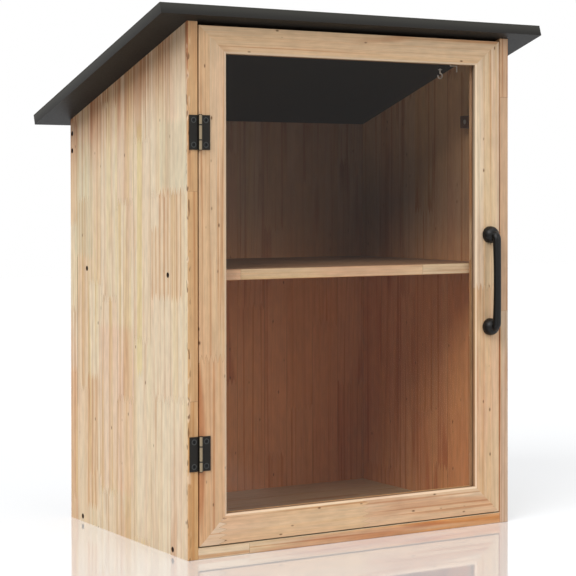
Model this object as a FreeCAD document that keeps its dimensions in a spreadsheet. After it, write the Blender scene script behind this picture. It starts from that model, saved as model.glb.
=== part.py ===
"""Street book exchange box: a pine cabinet with one shelf, a sloping roof and a glazed door.

Axes: +Z up, the door faces -Y and its hinges are on the -X side. The origin is the centre of
the cabinet's footprint, on the surface that it stands on. All sizes are millimetres.
"""
import FreeCAD, Part
import math
import os
import re

import Sketcher

Vector = FreeCAD.Vector
Rotation = FreeCAD.Rotation

SIZES = {
    # cabinet
    "case_width": 442.0,
    "case_depth": 309.0,
    "front_height": 590.0,
    "roof_slope": 17.4,
    "panel_thickness": 12.7,
    "back_thickness": 9.0,
    "shelf_underside": 304.3,
    "shelf_setback": 17.0,
    "eased_edge": 0.6,
    # roof
    "roof_thickness": 11.0,
    "felt_thickness": 1.6,
    "roof_front_overhang": 16.0,
    "roof_rear_overhang": 20.0,
    "roof_side_overhang": 39.5,
    # door frame
    "door_gap": 1.5,
    "door_thickness": 15.0,
    "door_top_drop": 4.4,
    "door_top_flat": 6.8,
    "door_top_bevel": 2.6,
    "stile_width": 34.8,
    "top_rail_width": 29.6,
    "bottom_rail_width": 32.8,
    "outer_band_share": 0.36,
    "middle_band_share": 0.62,
    "inner_band_share": 0.93,
    "moulding_step": 0.5,
    "arris_depth": 0.9,
    "rebate_width": 8.0,
    "lip_thickness": 8.0,
    "dowel_radius": 2.0,
    "dowel_length": 20.0,
    # pane and its beads
    "pane_thickness": 3.0,
    "pane_clearance": 1.0,
    "bead_clearance": 0.3,
    "bead_bevel": 1.5,
    "pin_radius": 0.6,
    "pin_length": 13.0,
    "pin_end_inset": 38.0,
    # hinges
    "hinge_height": 38.1,
    "leaf_width": 12.9,
    "leaf_thickness": 1.2,
    "barrel_radius": 2.4,
    "barrel_standoff": 2.7,
    "barrel_inset": 14.6,
    "hinge_pin_radius": 1.2,
    "hinge_pin_clearance": 0.05,
    "pin_head_radius": 1.9,
    "pin_head_height": 0.7,
    "end_knuckle_length": 10.6,
    "knuckle_gap": 0.3,
    "upper_hinge_height": 468.2,
    "lower_hinge_height": 116.1,
    "hinge_screw_spacing": 27.0,
    "hinge_head_radius": 2.3,
    "hinge_head_height": 1.1,
    "hinge_shank_radius": 1.1,
    "hinge_screw_length": 12.0,
    # panel screws
    "wood_head_radius": 3.2,
    "wood_head_height": 2.6,
    "wood_head_recess": 1.0,
    "wood_shank_radius": 1.7,
    "wood_screw_length": 35.0,
    "back_head_recess": 0.3,
    "point_length_ratio": 3.0,
    "point_tip_ratio": 0.2,
    "screw_fit": 0.05,
    "bore_end_room": 1.0,
    "shelf_screw_front": 47.5,
    "shelf_screw_rear": 261.5,
    "bottom_screw_front": 37.0,
    "bottom_screw_rear": 275.0,
    "back_edge_screw_drop": 17.2,
    "back_edge_screw_spacing": 21.3,
    "back_screw_spread": 150.0,
    "roof_screw_front": 70.0,
    "roof_screw_spacing": 98.0,
    "roof_head_radius": 4.2,
    "roof_head_top_radius": 2.6,
    "roof_head_height": 2.4,
    # handle
    "handle_centres": 111.5,
    "handle_height": 295.6,
    "handle_inset": 14.5,
    "handle_reach": 14.8,
    "handle_bow": 1.0,
    "handle_end_radius": 5.0,
    "handle_middle_radius": 4.5,
    "handle_bend_radius": 6.0,
    "handle_neck_radius": 7.0,
    "foot_radius": 10.2,
    "foot_rim": 1.4,
    "foot_dome": 11.5,
    "handle_bolt_radius": 2.0,
    "handle_bolt_depth": 9.0,
    "handle_bolt_head_radius": 4.0,
    "handle_bolt_head_top_radius": 2.8,
    "handle_bolt_head_height": 2.2,
    # magnetic catch
    "catch_height": 490.0,
    "catch_length": 44.0,
    "catch_width": 13.0,
    "catch_tall": 15.0,
    "catch_plate_thickness": 1.2,
    "catch_plate_reach": 1.6,
    "catch_gap": 0.3,
    "catch_front_wall": 1.5,
    "catch_rear_wall": 2.5,
    "catch_pouch_fit": 0.1,
    "magnet_thickness": 5.0,
    "magnet_depth": 18.0,
    "catch_screw_inset": 9.0,
    "catch_screw_radius": 1.5,
    "catch_screw_length": 11.0,
    "catch_head_radius": 2.8,
    "catch_head_height": 1.6,
    "strike_thickness": 1.5,
    "strike_width": 11.0,
    "strike_tall": 30.0,
    "strike_edge_inset": 0.8,
    "strike_screw_inset": 4.0,
    # hooks under the roof
    "hook_wire_radius": 0.9,
    "hook_ring_radius": 3.3,
    "hook_ring_turn": 285.0,
    "hook_in_board": 7.0,
    "hook_collar_radius": 2.6,
    "hook_collar_height": 0.8,
    "cup_hook_across": 191.8,
    "cup_hook_back": 100.0,
    "cup_hook_drop": 12.4,
    "square_hook_across": 186.0,
    "square_hook_back": 70.0,
    "square_hook_drop": 8.0,
    "square_hook_run": 9.5,
    "square_hook_leg": 7.5,
    # how far a cutting block reaches past what it cuts
    "cutting_room": 1.0,
}

ROOF_SCREWS_PER_SIDE = 3
PINS_PER_BEAD = 4

# The smallest volume that counts as a cut, and the distance at which two places are one.
LEAST_CUT = 1e-3
SAME_PLACE = 1e-4

SLOPE = math.radians(SIZES["roof_slope"])
UP = Vector(0, 0, 1)
ROOF_NORMAL = Vector(0, math.sin(SLOPE), math.cos(SLOPE))
ROOF_TILT = Rotation(Vector(-1, 0, 0), SIZES["roof_slope"])

# Places that several pieces share, written in the sheet's own names.
LEFT = "(-case_width / 2)"
RIGHT = "(case_width / 2)"
FRONT = "(-case_depth / 2)"
REAR = "(case_depth / 2)"
INNER_LEFT = "(-case_width / 2 + panel_thickness)"
INNER_RIGHT = "(case_width / 2 - panel_thickness)"
BACK_FACE = "(case_depth / 2 - back_thickness)"
REAR_HEIGHT = "(front_height - case_depth * tan(roof_slope))"
DOOR_LEFT = "(-case_width / 2 + panel_thickness + door_gap)"
DOOR_RIGHT = "(case_width / 2 - panel_thickness - door_gap)"
DOOR_BOTTOM = "(panel_thickness + door_gap)"
DOOR_TOP = "(front_height - door_top_drop)"
DOOR_WIDTH = "(case_width - 2 * panel_thickness - 2 * door_gap)"
DOOR_HEIGHT = "(front_height - door_top_drop - panel_thickness - door_gap)"
DOOR_BACK = "(-case_depth / 2 + door_thickness)"
HINGE_X = "(-case_width / 2 + barrel_inset)"
HINGE_Y = "(-case_depth / 2 - barrel_standoff)"
HANDLE_X = "(case_width / 2 - panel_thickness - door_gap - handle_inset)"
LEAF_END = "(leaf_width - barrel_radius)"

doc = FreeCAD.newDocument("BookExchangeBox")
sheet = doc.addObject("Spreadsheet::Sheet", "Sizes")
for row, (alias, value) in enumerate(SIZES.items(), start=1):
    sheet.set(f"A{row}", alias.replace("_", " "))
    sheet.set(f"B{row}", str(value))
    sheet.setAlias(f"B{row}", alias)
doc.recompute()

ALIAS = re.compile(r"\b(" + "|".join(sorted(SIZES, key=len, reverse=True)) + r")\b")


def in_sheet(formula):
    """The formula with each size named as a cell of the sheet."""
    return ALIAS.sub(r"Sizes.\1", str(formula))


def bind(target, **formulas):
    """Binds properties to formulas; a double underscore stands for a dot."""
    for name, formula in formulas.items():
        target.setExpression(name.replace("__", "."), in_sheet(formula))
    return target


def place(target, x=0, y=0, z=0, rotation=None):
    """Puts an object at a place worked out from the sheet."""
    if rotation is not None:
        target.Placement = FreeCAD.Placement(Vector(), rotation)
    return bind(target, Placement__Base__x=x, Placement__Base__y=y, Placement__Base__z=z)


def add(kind, label):
    """A new object of the document with a label of its own."""
    thing = doc.addObject(kind, label)
    thing.Label = label
    return thing


def box(label, size, corner):
    """A block from its three sizes and its lowest corner."""
    block = bind(add("Part::Box", label), Length=size[0], Width=size[1], Height=size[2])
    return place(block, *corner)


def along(spot, direction, distance):
    """The place that lies a distance from a spot, along a direction."""
    return [f"{start} + ({distance}) * {step:.9f}" for start, step in zip(spot, direction)]


def rod(label, radius, length, spot, direction=UP):
    """A cylinder from a spot along a direction."""
    cylinder = bind(add("Part::Cylinder", label), Radius=radius, Height=length)
    return place(cylinder, *spot, Rotation(UP, direction))


def taper(label, start_radius, end_radius, length, spot, direction=UP):
    """A cone from a spot along a direction."""
    cone = bind(add("Part::Cone", label), Radius1=start_radius, Radius2=end_radius, Height=length)
    return place(cone, *spot, Rotation(UP, direction))


def fuse(label, pieces):
    """Several objects joined; those that don't touch stay separate solids."""
    if len(pieces) == 1:
        pieces[0].Label = label
        return pieces[0]
    joined = add("Part::MultiFuse", label)
    joined.Shapes = pieces
    return joined


def cut(label, base, tools):
    """A base less one or more tools; the volume has to drop."""
    less = add("Part::Cut", label)
    less.Base = base
    less.Tool = tools[0] if len(tools) == 1 else fuse(label + "_tools", tools)
    doc.recompute()
    assert less.Shape.Volume < base.Shape.Volume - LEAST_CUT, f"{label}: the tools cut nothing"
    return less


def new_body(label, x=0, y=0, z=0, rotation=None):
    """An empty body at its place."""
    return place(add("PartDesign::Body", label), x, y, z, rotation)


def outline(body, role, label, points):
    """A closed outline on one of the body's own planes, each corner bound to the sheet."""
    plane = next(item for item in body.Origin.OriginFeatures if item.Role == role)
    sketch = body.newObject("Sketcher::SketchObject", label)
    sketch.Label = label
    sketch.AttachmentSupport = [(plane, "")]
    sketch.MapMode = "FlatFace"
    count = len(points)
    # The corners start on a circle, and the bound sizes then move each to its place.
    turns = [2 * math.pi * index / count for index in range(count)]
    starts = [Vector(math.cos(turn), math.sin(turn), 0) * SIZES["stile_width"] for turn in turns]
    for index in range(count):
        sketch.addGeometry(Part.LineSegment(starts[index], starts[(index + 1) % count]), False)
    for index in range(count):
        sketch.addConstraint(Sketcher.Constraint("Coincident", index, 2, (index + 1) % count, 1))
    for index, (start, point) in enumerate(zip(starts, points)):
        for kind, value, formula in (("DistanceX", start.x, point[0]),
                                     ("DistanceY", start.y, point[1])):
            number = sketch.addConstraint(Sketcher.Constraint(kind, -1, 1, index, 1, value))
            sketch.setExpression(f"Constraints[{number}]", in_sheet(formula))
    return sketch


def pad(body, sketch, length, reverse=False):
    """The first solid of a body, from an outline."""
    feature = body.newObject("PartDesign::Pad", sketch.Label + "_pad")
    feature.Profile = sketch
    feature.Reversed = reverse
    bind(feature, Length=length)
    doc.recompute()
    return feature


def pocket(body, sketch):
    """Takes an outline out of the whole body, both ways."""
    before = body.Shape.Volume
    feature = body.newObject("PartDesign::Pocket", sketch.Label + "_pocket")
    feature.Profile = sketch
    feature.Type = "ThroughAll"
    feature.Midplane = True
    doc.recompute()
    assert body.Shape.Volume < before - LEAST_CUT, f"{sketch.Label}: the pocket cuts nothing"
    return feature


def ease(body, chosen):
    """A small chamfer on the edges whose two ends pass a test."""
    solid = body.Tip
    names = [f"Edge{number}" for number, edge in enumerate(solid.Shape.Edges, start=1)
             if len(edge.Vertexes) == 2 and all(chosen(corner.Point) for corner in edge.Vertexes)]
    assert names, f"{body.Label}: no edge to ease"
    feature = body.newObject("PartDesign::Chamfer", body.Label + "_eased")
    feature.Base = (solid, names)
    bind(feature, Size="eased_edge")
    doc.recompute()
    return feature


def near(value, target):
    """Whether two lengths are the same place."""
    return abs(value - target) < SAME_PLACE


def shank_and_point(name, radius, length, start, direction):
    """The plain part of a screw: a shank that ends in a blunt point."""
    point_length = f"point_length_ratio * {radius}"
    neck = along(start, direction, f"{length} - {point_length}")
    return [
        rod(name + "_shank", radius, f"{length} - {point_length}", start, direction),
        taper(name + "_point", radius, f"{radius} * point_tip_ratio", point_length, neck, direction),
    ]


def countersunk(label, spots, outward, head, shank, length, recess="0"):
    """A group of countersunk screws and the tool that makes their holes.

    Each spot is on the surface, outward points out of it, head is the radius and height of the
    head and shank the radius of the shank.
    """
    inward = outward * -1
    solids, holes = [], []
    for number, spot in enumerate(spots, start=1):
        name = f"{label}_{number}"
        top = along(spot, inward, recess)
        neck = along(spot, inward, f"{recess} + {head[1]}")
        cone = taper(name + "_head", head[0], shank, head[1], top, inward)
        shaft = shank_and_point(name, shank, f"{length} - {head[1]}", neck, inward)
        solids.append(fuse(name, [cone, *shaft]))
        holes.append(taper(name + "_sink", f"{head[0]} + screw_fit", f"{shank} + screw_fit",
                           head[1], top, inward))
        holes.append(rod(name + "_bore", f"{shank} + screw_fit", f"{length} + bore_end_room",
                         top, inward))
        if recess != "0":
            holes.append(rod(name + "_mouth", f"{head[0]} + screw_fit", recess, spot, inward))
    return fuse(label, solids), fuse(label + "_holes", holes)


def make_screws():
    """Every group of panel screws, with the tools that make their holes."""
    shelf_middle = "(shelf_underside + panel_thickness / 2)"
    bottom_middle = "(panel_thickness / 2)"
    edge_depth = "(case_depth / 2 - back_thickness / 2)"
    groups = {}
    wood_head = ("wood_head_radius", "wood_head_height")

    def both_sides(label, yz_spots):
        pairs = []
        for side, face, reach in (("left", LEFT, -1), ("right", RIGHT, 1)):
            spots = [(face, y, z) for y, z in yz_spots]
            pairs.append(countersunk(f"{label}_{side}", spots, Vector(reach, 0, 0), wood_head,
                                     "wood_shank_radius", "wood_screw_length", "wood_head_recess"))
        groups[label] = (fuse(label, [pair[0] for pair in pairs]), [pair[1] for pair in pairs])

    both_sides("shelf_screws", [(f"{FRONT} + shelf_screw_front", shelf_middle),
                                (f"{FRONT} + shelf_screw_rear", shelf_middle)])
    both_sides("bottom_screws", [(f"{FRONT} + bottom_screw_front", bottom_middle),
                                 (f"{FRONT} + bottom_screw_rear", bottom_middle)])
    both_sides("back_edge_screws", [
        (edge_depth, f"{REAR_HEIGHT} - back_edge_screw_drop"),
        (edge_depth, f"{REAR_HEIGHT} - back_edge_screw_drop - back_edge_screw_spacing")])
    spots = [(f"back_screw_spread * {step}", REAR, z)
             for z in (shelf_middle, bottom_middle) for step in (-1, 0, 1)]
    group, holes = countersunk("back_screws", spots, Vector(0, 1, 0), wood_head, "wood_shank_radius",
                               "wood_screw_length", "back_head_recess")
    groups["back_screws"] = (group, [holes])
    return groups


def roof_point(x, distance, height):
    """A place on the roof: across, down the slope from the wall's front edge, above the soffit."""
    return (x, f"{FRONT} + ({distance}) * cos(roof_slope) + ({height}) * sin(roof_slope)",
            f"front_height - ({distance}) * sin(roof_slope) + ({height}) * cos(roof_slope)")


def make_roof_screws():
    """Low-headed screws through felt and board into the side panels' top edges."""
    skin = "roof_thickness + felt_thickness"
    down = ROOF_NORMAL * -1
    solids, holes = [], []
    for side in (-1, 1):
        for row in range(ROOF_SCREWS_PER_SIDE):
            name = f"roof_screw_{row}_{'left' if side < 0 else 'right'}"
            across = f"{side} * (case_width / 2 - panel_thickness / 2)"
            spot = roof_point(across, f"roof_screw_front + {row} * roof_screw_spacing", skin)
            head = taper(name + "_head", "roof_head_radius", "roof_head_top_radius",
                         "roof_head_height", spot, ROOF_NORMAL)
            shaft = shank_and_point(name, "wood_shank_radius", "wood_screw_length", spot, down)
            solids.append(fuse(name, [head, *shaft]))
            holes.append(rod(name + "_bore", "wood_shank_radius + screw_fit",
                             "wood_screw_length + bore_end_room", spot, down))
    return fuse("roof_screws", solids), holes


def make_side_panel(side, holes):
    """A side panel: a board whose top edge follows the roof slope."""
    label = f"{side}_side_panel"
    body = new_body(label + "_board", LEFT if side == "left" else INNER_RIGHT, FRONT, 0)
    corners = [("0", "0"), ("case_depth", "0"), ("case_depth", REAR_HEIGHT), ("0", "front_height")]
    pad(body, outline(body, "YZ_Plane", label + "_outline", corners), "panel_thickness")
    ease(body, lambda point: near(point.y, 0))
    return cut(label, body, holes)


def make_board(label, size, corner, holes, eased):
    """A plain board with its screw holes and, where it shows, an eased front edge."""
    body = new_body(label + "_board", *corner)
    corners = [("0", "0"), (size[0], "0"), (size[0], size[1]), ("0", size[1])]
    pad(body, outline(body, "XY_Plane", label + "_outline", corners), size[2])
    if eased:
        ease(body, lambda point: near(point.y, 0))
    return cut(label, body, holes)


def make_back_panel(holes):
    """The back: a board between the sides with its top edge cut to the slope."""
    body = new_body("back_panel_board", INNER_LEFT, BACK_FACE, 0)
    inner_top = "(front_height - (case_depth - back_thickness) * tan(roof_slope))"
    corners = [("0", "0"), ("back_thickness", "0"), ("back_thickness", REAR_HEIGHT), ("0", inner_top)]
    pad(body, outline(body, "YZ_Plane", "back_panel_outline", corners),
        "case_width - 2 * panel_thickness")
    return cut("back_panel", body, holes)


def make_roof(holes):
    """The roof board and the felt on it, tilted about the walls' front top edge."""
    width = "case_width + 2 * roof_side_overhang"
    length = "case_depth / cos(roof_slope) + roof_front_overhang + roof_rear_overhang"
    pieces = []
    for label, lift, thickness in (("roof_board", "0", "roof_thickness"),
                                   ("roof_felt", "roof_thickness", "felt_thickness")):
        corner = roof_point(f"{LEFT} - roof_side_overhang", "-roof_front_overhang", lift)
        body = new_body(label + "_sheet", *corner, rotation=ROOF_TILT)
        corners = [("0", "0"), (width, "0"), (width, length), ("0", length)]
        pad(body, outline(body, "XY_Plane", label + "_outline", corners), thickness)
        pieces.append(cut(label, body, holes))
    return pieces


def frame_profile(width):
    """The door frame's section: distance from the outer edge, and depth from the front face."""
    outer = f"{width} * outer_band_share"
    middle = f"{width} * middle_band_share"
    inner = f"{width} * inner_band_share"
    return [
        ("0", "0"), (outer, "0"), (outer, "moulding_step"), (middle, "moulding_step"),
        (middle, "2 * moulding_step"), (inner, "2 * moulding_step"),
        (width, "2 * moulding_step + arris_depth"), (width, "lip_thickness"),
        (f"{width} - rebate_width", "lip_thickness"), (f"{width} - rebate_width", "door_thickness"),
        ("0", "door_thickness"),
    ]


def bevel_door_top(body, label, top):
    """Slopes the rear half of the door's top edge, so that it clears the roof."""
    past = "door_thickness + cutting_room"
    corners = [("door_top_flat", top), (past, f"{top} + cutting_room"),
               (past, f"{top} - door_top_bevel")]
    pocket(body, outline(body, "YZ_Plane", label + "_bevel", corners))


def make_stile(label, side, holes):
    """An upright of the door frame, mitred at both ends."""
    outer_x = DOOR_LEFT if side == "left" else f"{DOOR_RIGHT} - stile_width"
    body = new_body(label + "_bar", outer_x, FRONT, DOOR_BOTTOM)

    def across(distance):
        return distance if side == "left" else f"stile_width - ({distance})"

    section = [(across(distance), depth) for distance, depth in frame_profile("stile_width")]
    pad(body, outline(body, "XY_Plane", label + "_section", section), DOOR_HEIGHT)
    foot = [(across("0"), "0"), (across("stile_width"), "0"),
            (across("stile_width"), "bottom_rail_width")]
    head = [(across("0"), DOOR_HEIGHT), (across("stile_width"), DOOR_HEIGHT),
            (across("stile_width"), f"{DOOR_HEIGHT} - top_rail_width")]
    pocket(body, outline(body, "XZ_Plane", label + "_foot_mitre", foot))
    pocket(body, outline(body, "XZ_Plane", label + "_head_mitre", head))
    bevel_door_top(body, label, DOOR_HEIGHT)
    return cut(label, body, holes)


def make_rail(label, end, holes):
    """A level member of the door frame, mitred at both ends."""
    width = "top_rail_width" if end == "top" else "bottom_rail_width"
    base = DOOR_BOTTOM if end == "bottom" else f"{DOOR_TOP} - top_rail_width"
    body = new_body(label + "_bar", DOOR_LEFT, FRONT, base)

    def upward(distance):
        return distance if end == "bottom" else f"{width} - ({distance})"

    section = [(depth, upward(distance)) for distance, depth in frame_profile(width)]
    pad(body, outline(body, "YZ_Plane", label + "_section", section), DOOR_WIDTH)
    left = [("0", upward("0")), ("0", upward(width)), ("stile_width", upward(width))]
    right = [(DOOR_WIDTH, upward("0")), (DOOR_WIDTH, upward(width)),
             (f"{DOOR_WIDTH} - stile_width", upward(width))]
    pocket(body, outline(body, "XZ_Plane", label + "_left_mitre", left))
    pocket(body, outline(body, "XZ_Plane", label + "_right_mitre", right))
    if end == "top":
        bevel_door_top(body, label, width)
    return cut(label, body, holes)


def make_dowels():
    """A dowel across each mitre, and the tools for their bores."""
    solids, bores = [], []
    depth = "(-case_depth / 2 + door_thickness / 2)"
    for vertical, edge, width in (("bottom", DOOR_BOTTOM, "bottom_rail_width"),
                                  ("top", DOOR_TOP, "top_rail_width")):
        rise = SIZES[width] if vertical == "bottom" else -SIZES[width]
        for side, start, run in (("left", DOOR_LEFT, 1), ("right", DOOR_RIGHT, -1)):
            across = Vector(-rise, 0, run * SIZES["stile_width"])
            across.normalize()
            middle = (f"{start} + {run} * stile_width / 2", depth,
                      f"{edge} + {1 if vertical == 'bottom' else -1} * {width} / 2")
            name = f"dowel_{vertical}_{side}"
            solids.append(rod(name, "dowel_radius", "dowel_length",
                              along(middle, across, "-dowel_length / 2"), across))
            bores.append(rod(name + "_bore", "dowel_radius + screw_fit",
                             "dowel_length + 2 * bore_end_room",
                             along(middle, across, "-dowel_length / 2 - bore_end_room"), across))
    return fuse("corner_dowels", solids), bores


def make_pane_and_beads():
    """The pane in its rebate, the four beads behind it and the pins that hold them."""
    sight_left = f"({DOOR_LEFT} + stile_width)"
    sight_width = f"({DOOR_WIDTH} - 2 * stile_width)"
    sight_bottom = f"({DOOR_BOTTOM} + bottom_rail_width)"
    sight_height = f"({DOOR_HEIGHT} - bottom_rail_width - top_rail_width)"
    cover = "(rebate_width - pane_clearance)"
    pane_front = f"{FRONT} + lip_thickness"
    box("door_pane", (f"{sight_width} + 2 * {cover}", "pane_thickness", f"{sight_height} + 2 * {cover}"),
        (f"{sight_left} - {cover}", pane_front, f"{sight_bottom} - {cover}"))

    strip = "(rebate_width - bead_clearance)"
    bead_front = f"({FRONT} + lip_thickness + pane_thickness)"
    bead_depth = "(door_thickness - lip_thickness - pane_thickness)"
    section = [("0", "0"), (strip, "0"), (strip, f"{bead_depth} - bead_bevel"),
               (f"{strip} - bead_bevel", bead_depth), ("0", bead_depth)]
    long_way = f"({sight_width} + 2 * {strip})"
    pin_depth = f"{bead_front} + ({bead_depth} - bead_bevel) / 2"
    pins, holes = [], []

    def pin_row(length, spot_at, direction):
        """Pins through one bead, level with the pane, into the wall of the rebate."""
        for step in range(PINS_PER_BEAD):
            distance = f"pin_end_inset + ({length} - 2 * pin_end_inset) * {step} / {PINS_PER_BEAD - 1}"
            number = len(pins) + 1
            spot = spot_at(distance)
            pins.append(rod(f"bead_pin_{number}", "pin_radius", "pin_length", spot, direction))
            holes.append(rod(f"bead_pin_{number}_bore", "pin_radius + screw_fit",
                             "pin_length + bore_end_room", spot, direction))

    beads = {}
    for end in ("bottom", "top"):
        base = f"{sight_bottom} - {strip}" if end == "bottom" else f"{sight_bottom} + {sight_height}"
        body = new_body(f"pane_bead_{end}_strip", f"{sight_left} - {strip}", bead_front, base)
        points = [(depth, reach if end == "bottom" else f"{strip} - ({reach})")
                  for reach, depth in section]
        pad(body, outline(body, "YZ_Plane", f"bead_{end}_section", points), long_way)
        beads[end] = body
        edge = sight_bottom if end == "bottom" else base
        pin_row(sight_width, lambda distance, level=edge: (f"{sight_left} + {distance}", pin_depth,
                                                           level),
                UP * (-1 if end == "bottom" else 1))
    for side in ("left", "right"):
        base = f"{sight_left} - {strip}" if side == "left" else f"{sight_left} + {sight_width}"
        body = new_body(f"pane_bead_{side}_strip", base, bead_front, sight_bottom)
        points = [(reach if side == "left" else f"{strip} - ({reach})", depth)
                  for reach, depth in section]
        pad(body, outline(body, "XY_Plane", f"bead_{side}_section", points), sight_height)
        beads[side] = body
        edge = sight_left if side == "left" else base
        pin_row(sight_height, lambda distance, across=edge: (across, pin_depth,
                                                             f"{sight_bottom} + {distance}"),
                Vector(-1 if side == "left" else 1, 0, 0))
    fuse("bead_pins", pins)
    bead_holes = fuse("bead_pin_holes", holes)
    for name, body in beads.items():
        cut(f"pane_bead_{name}", body, [bead_holes])
    return bead_holes


def hinge_screw_spots(height):
    """Where the screws go through a hinge's two leaves."""
    levels = [f"{height} + {step} * hinge_screw_spacing / 2" for step in (-1, 1)]
    face = f"{FRONT} - leaf_thickness"
    reach = f"({LEAF_END} / 2 + barrel_radius)"
    return ([(f"{HINGE_X} - {reach}", face, level) for level in levels],
            [(f"{HINGE_X} + {reach}", face, level) for level in levels])


def make_hinge(name, height, frame_holes, door_holes):
    """One butt hinge: two leaves whose knuckles share a headed pin."""
    bottom = f"({height} - hinge_height / 2)"
    middle_length = "(hinge_height - 2 * end_knuckle_length - 2 * knuckle_gap)"
    middle_bottom = f"({bottom} + end_knuckle_length + knuckle_gap)"
    axis = (HINGE_X, HINGE_Y)
    plate_y = f"{FRONT} - leaf_thickness"
    bore = rod(f"{name}_hinge_bore", "hinge_pin_radius + hinge_pin_clearance",
               "hinge_height + 2 * cutting_room", (*axis, f"{bottom} - cutting_room"))

    frame_plate = box(f"{name}_frame_plate", ("leaf_width", "leaf_thickness", "hinge_height"),
                      (f"{HINGE_X} - leaf_width", plate_y, bottom))
    end_knuckles = [
        rod(f"{name}_low_knuckle", "barrel_radius", "end_knuckle_length", (*axis, bottom)),
        rod(f"{name}_high_knuckle", "barrel_radius", "end_knuckle_length",
            (*axis, f"{bottom} + hinge_height - end_knuckle_length")),
    ]
    middle_room = rod(f"{name}_middle_room", "barrel_radius + knuckle_gap",
                      f"{middle_length} + 2 * knuckle_gap", (*axis, f"{middle_bottom} - knuckle_gap"))
    cut(f"{name}_hinge_frame_leaf", fuse(f"{name}_frame_blank", [frame_plate, *end_knuckles]),
        [bore, middle_room, frame_holes])

    door_plate = box(f"{name}_door_plate", ("leaf_width", "leaf_thickness", "hinge_height"),
                     (HINGE_X, plate_y, bottom))
    middle_knuckle = rod(f"{name}_middle_knuckle", "barrel_radius", middle_length, (*axis, middle_bottom))
    end_rooms = [
        rod(f"{name}_low_room", "barrel_radius + knuckle_gap", "end_knuckle_length + knuckle_gap",
            (*axis, bottom)),
        rod(f"{name}_high_room", "barrel_radius + knuckle_gap", "end_knuckle_length + knuckle_gap",
            (*axis, f"{bottom} + hinge_height - end_knuckle_length - knuckle_gap")),
    ]
    cut(f"{name}_hinge_door_leaf", fuse(f"{name}_door_blank", [door_plate, middle_knuckle]),
        [bore, *end_rooms, door_holes])

    fuse(f"{name}_hinge_pin", [
        rod(f"{name}_pin_rod", "hinge_pin_radius", "hinge_height", (*axis, bottom)),
        rod(f"{name}_pin_top", "pin_head_radius", "pin_head_height", (*axis, f"{bottom} + hinge_height")),
        rod(f"{name}_pin_foot", "pin_head_radius", "pin_head_height",
            (*axis, f"{bottom} - pin_head_height")),
    ])


def make_handle():
    """The bow handle with its two domed feet, and the bolts that hold it from inside."""
    outward = Vector(0, -1, 0)
    half = "(handle_centres / 2)"
    bar_half = f"({half} - handle_bend_radius)"
    pieces = []
    sections = []
    for number, (level, reach, radius) in enumerate((
            (f"-{bar_half}", "handle_reach", "handle_end_radius"),
            ("0", "handle_reach + handle_bow", "handle_middle_radius"),
            (bar_half, "handle_reach", "handle_end_radius"))):
        ring = bind(add("Part::Circle", f"handle_section_{number}"), Radius=radius)
        sections.append(place(ring, HANDLE_X, f"{FRONT} - ({reach})", f"handle_height + {level}"))
    bar = add("Part::Loft", "handle_bar")
    bar.Sections = sections
    bar.Solid = True
    pieces.append(bar)
    dome_radius = "((foot_radius ^ 2 + foot_dome ^ 2) / (2 * foot_dome))"
    bolts, bores = [], []
    for end in (-1, 1):
        name = "handle_top" if end > 0 else "handle_foot"
        level = f"handle_height + {end} * {half}"
        bend = add("Part::Torus", name + "_bend")
        bind(bend, Radius1="handle_bend_radius", Radius2="handle_end_radius")
        bend.Angle3 = 90
        # The bend's own X axis points out of the door, its Y axis towards the handle's end.
        turn = Rotation(Vector(0, -1, 0), Vector(0, 0, end), Vector(-end, 0, 0), "XYZ")
        place(bend, HANDLE_X, f"{FRONT} - handle_reach + handle_bend_radius",
              f"handle_height + {end} * {bar_half}", turn)
        neck = taper(name + "_neck", "handle_neck_radius", "handle_end_radius",
                     "handle_reach - handle_bend_radius", (HANDLE_X, FRONT, level), outward)
        rim = rod(name + "_rim", "foot_radius", "foot_rim", (HANDLE_X, FRONT, level), outward)
        ball = bind(add("Part::Sphere", name + "_ball"), Radius=dome_radius)
        place(ball, HANDLE_X, f"{FRONT} - foot_rim - foot_dome + {dome_radius}", level)
        room_width = "2 * (foot_radius + cutting_room)"
        room_corner = (f"{HANDLE_X} - foot_radius - cutting_room",
                       f"{FRONT} - foot_rim - foot_dome - cutting_room",
                       f"{level} - foot_radius - cutting_room")
        front_room = box(name + "_front_room", (room_width, "foot_dome + cutting_room", room_width),
                         room_corner)
        dome = add("Part::MultiCommon", name + "_dome")
        dome.Shapes = [ball, front_room]
        pieces += [bend, neck, rim, dome]
        shank = rod(name + "_bolt_shank", "handle_bolt_radius", "door_thickness + handle_bolt_depth",
                    (HANDLE_X, DOOR_BACK, level), outward)
        head = taper(name + "_bolt_head", "handle_bolt_head_radius", "handle_bolt_head_top_radius",
                     "handle_bolt_head_height", (HANDLE_X, DOOR_BACK, level), Vector(0, 1, 0))
        bolts.append(fuse(name + "_bolt", [shank, head]))
        bores.append(rod(name + "_bolt_bore", "handle_bolt_radius + screw_fit",
                         "door_thickness + handle_bolt_depth + bore_end_room",
                         (HANDLE_X, DOOR_BACK, level), outward))
    fuse("handle_screws", bolts)
    cut("door_handle", fuse("handle_casting", pieces), bores)
    return bores


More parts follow.
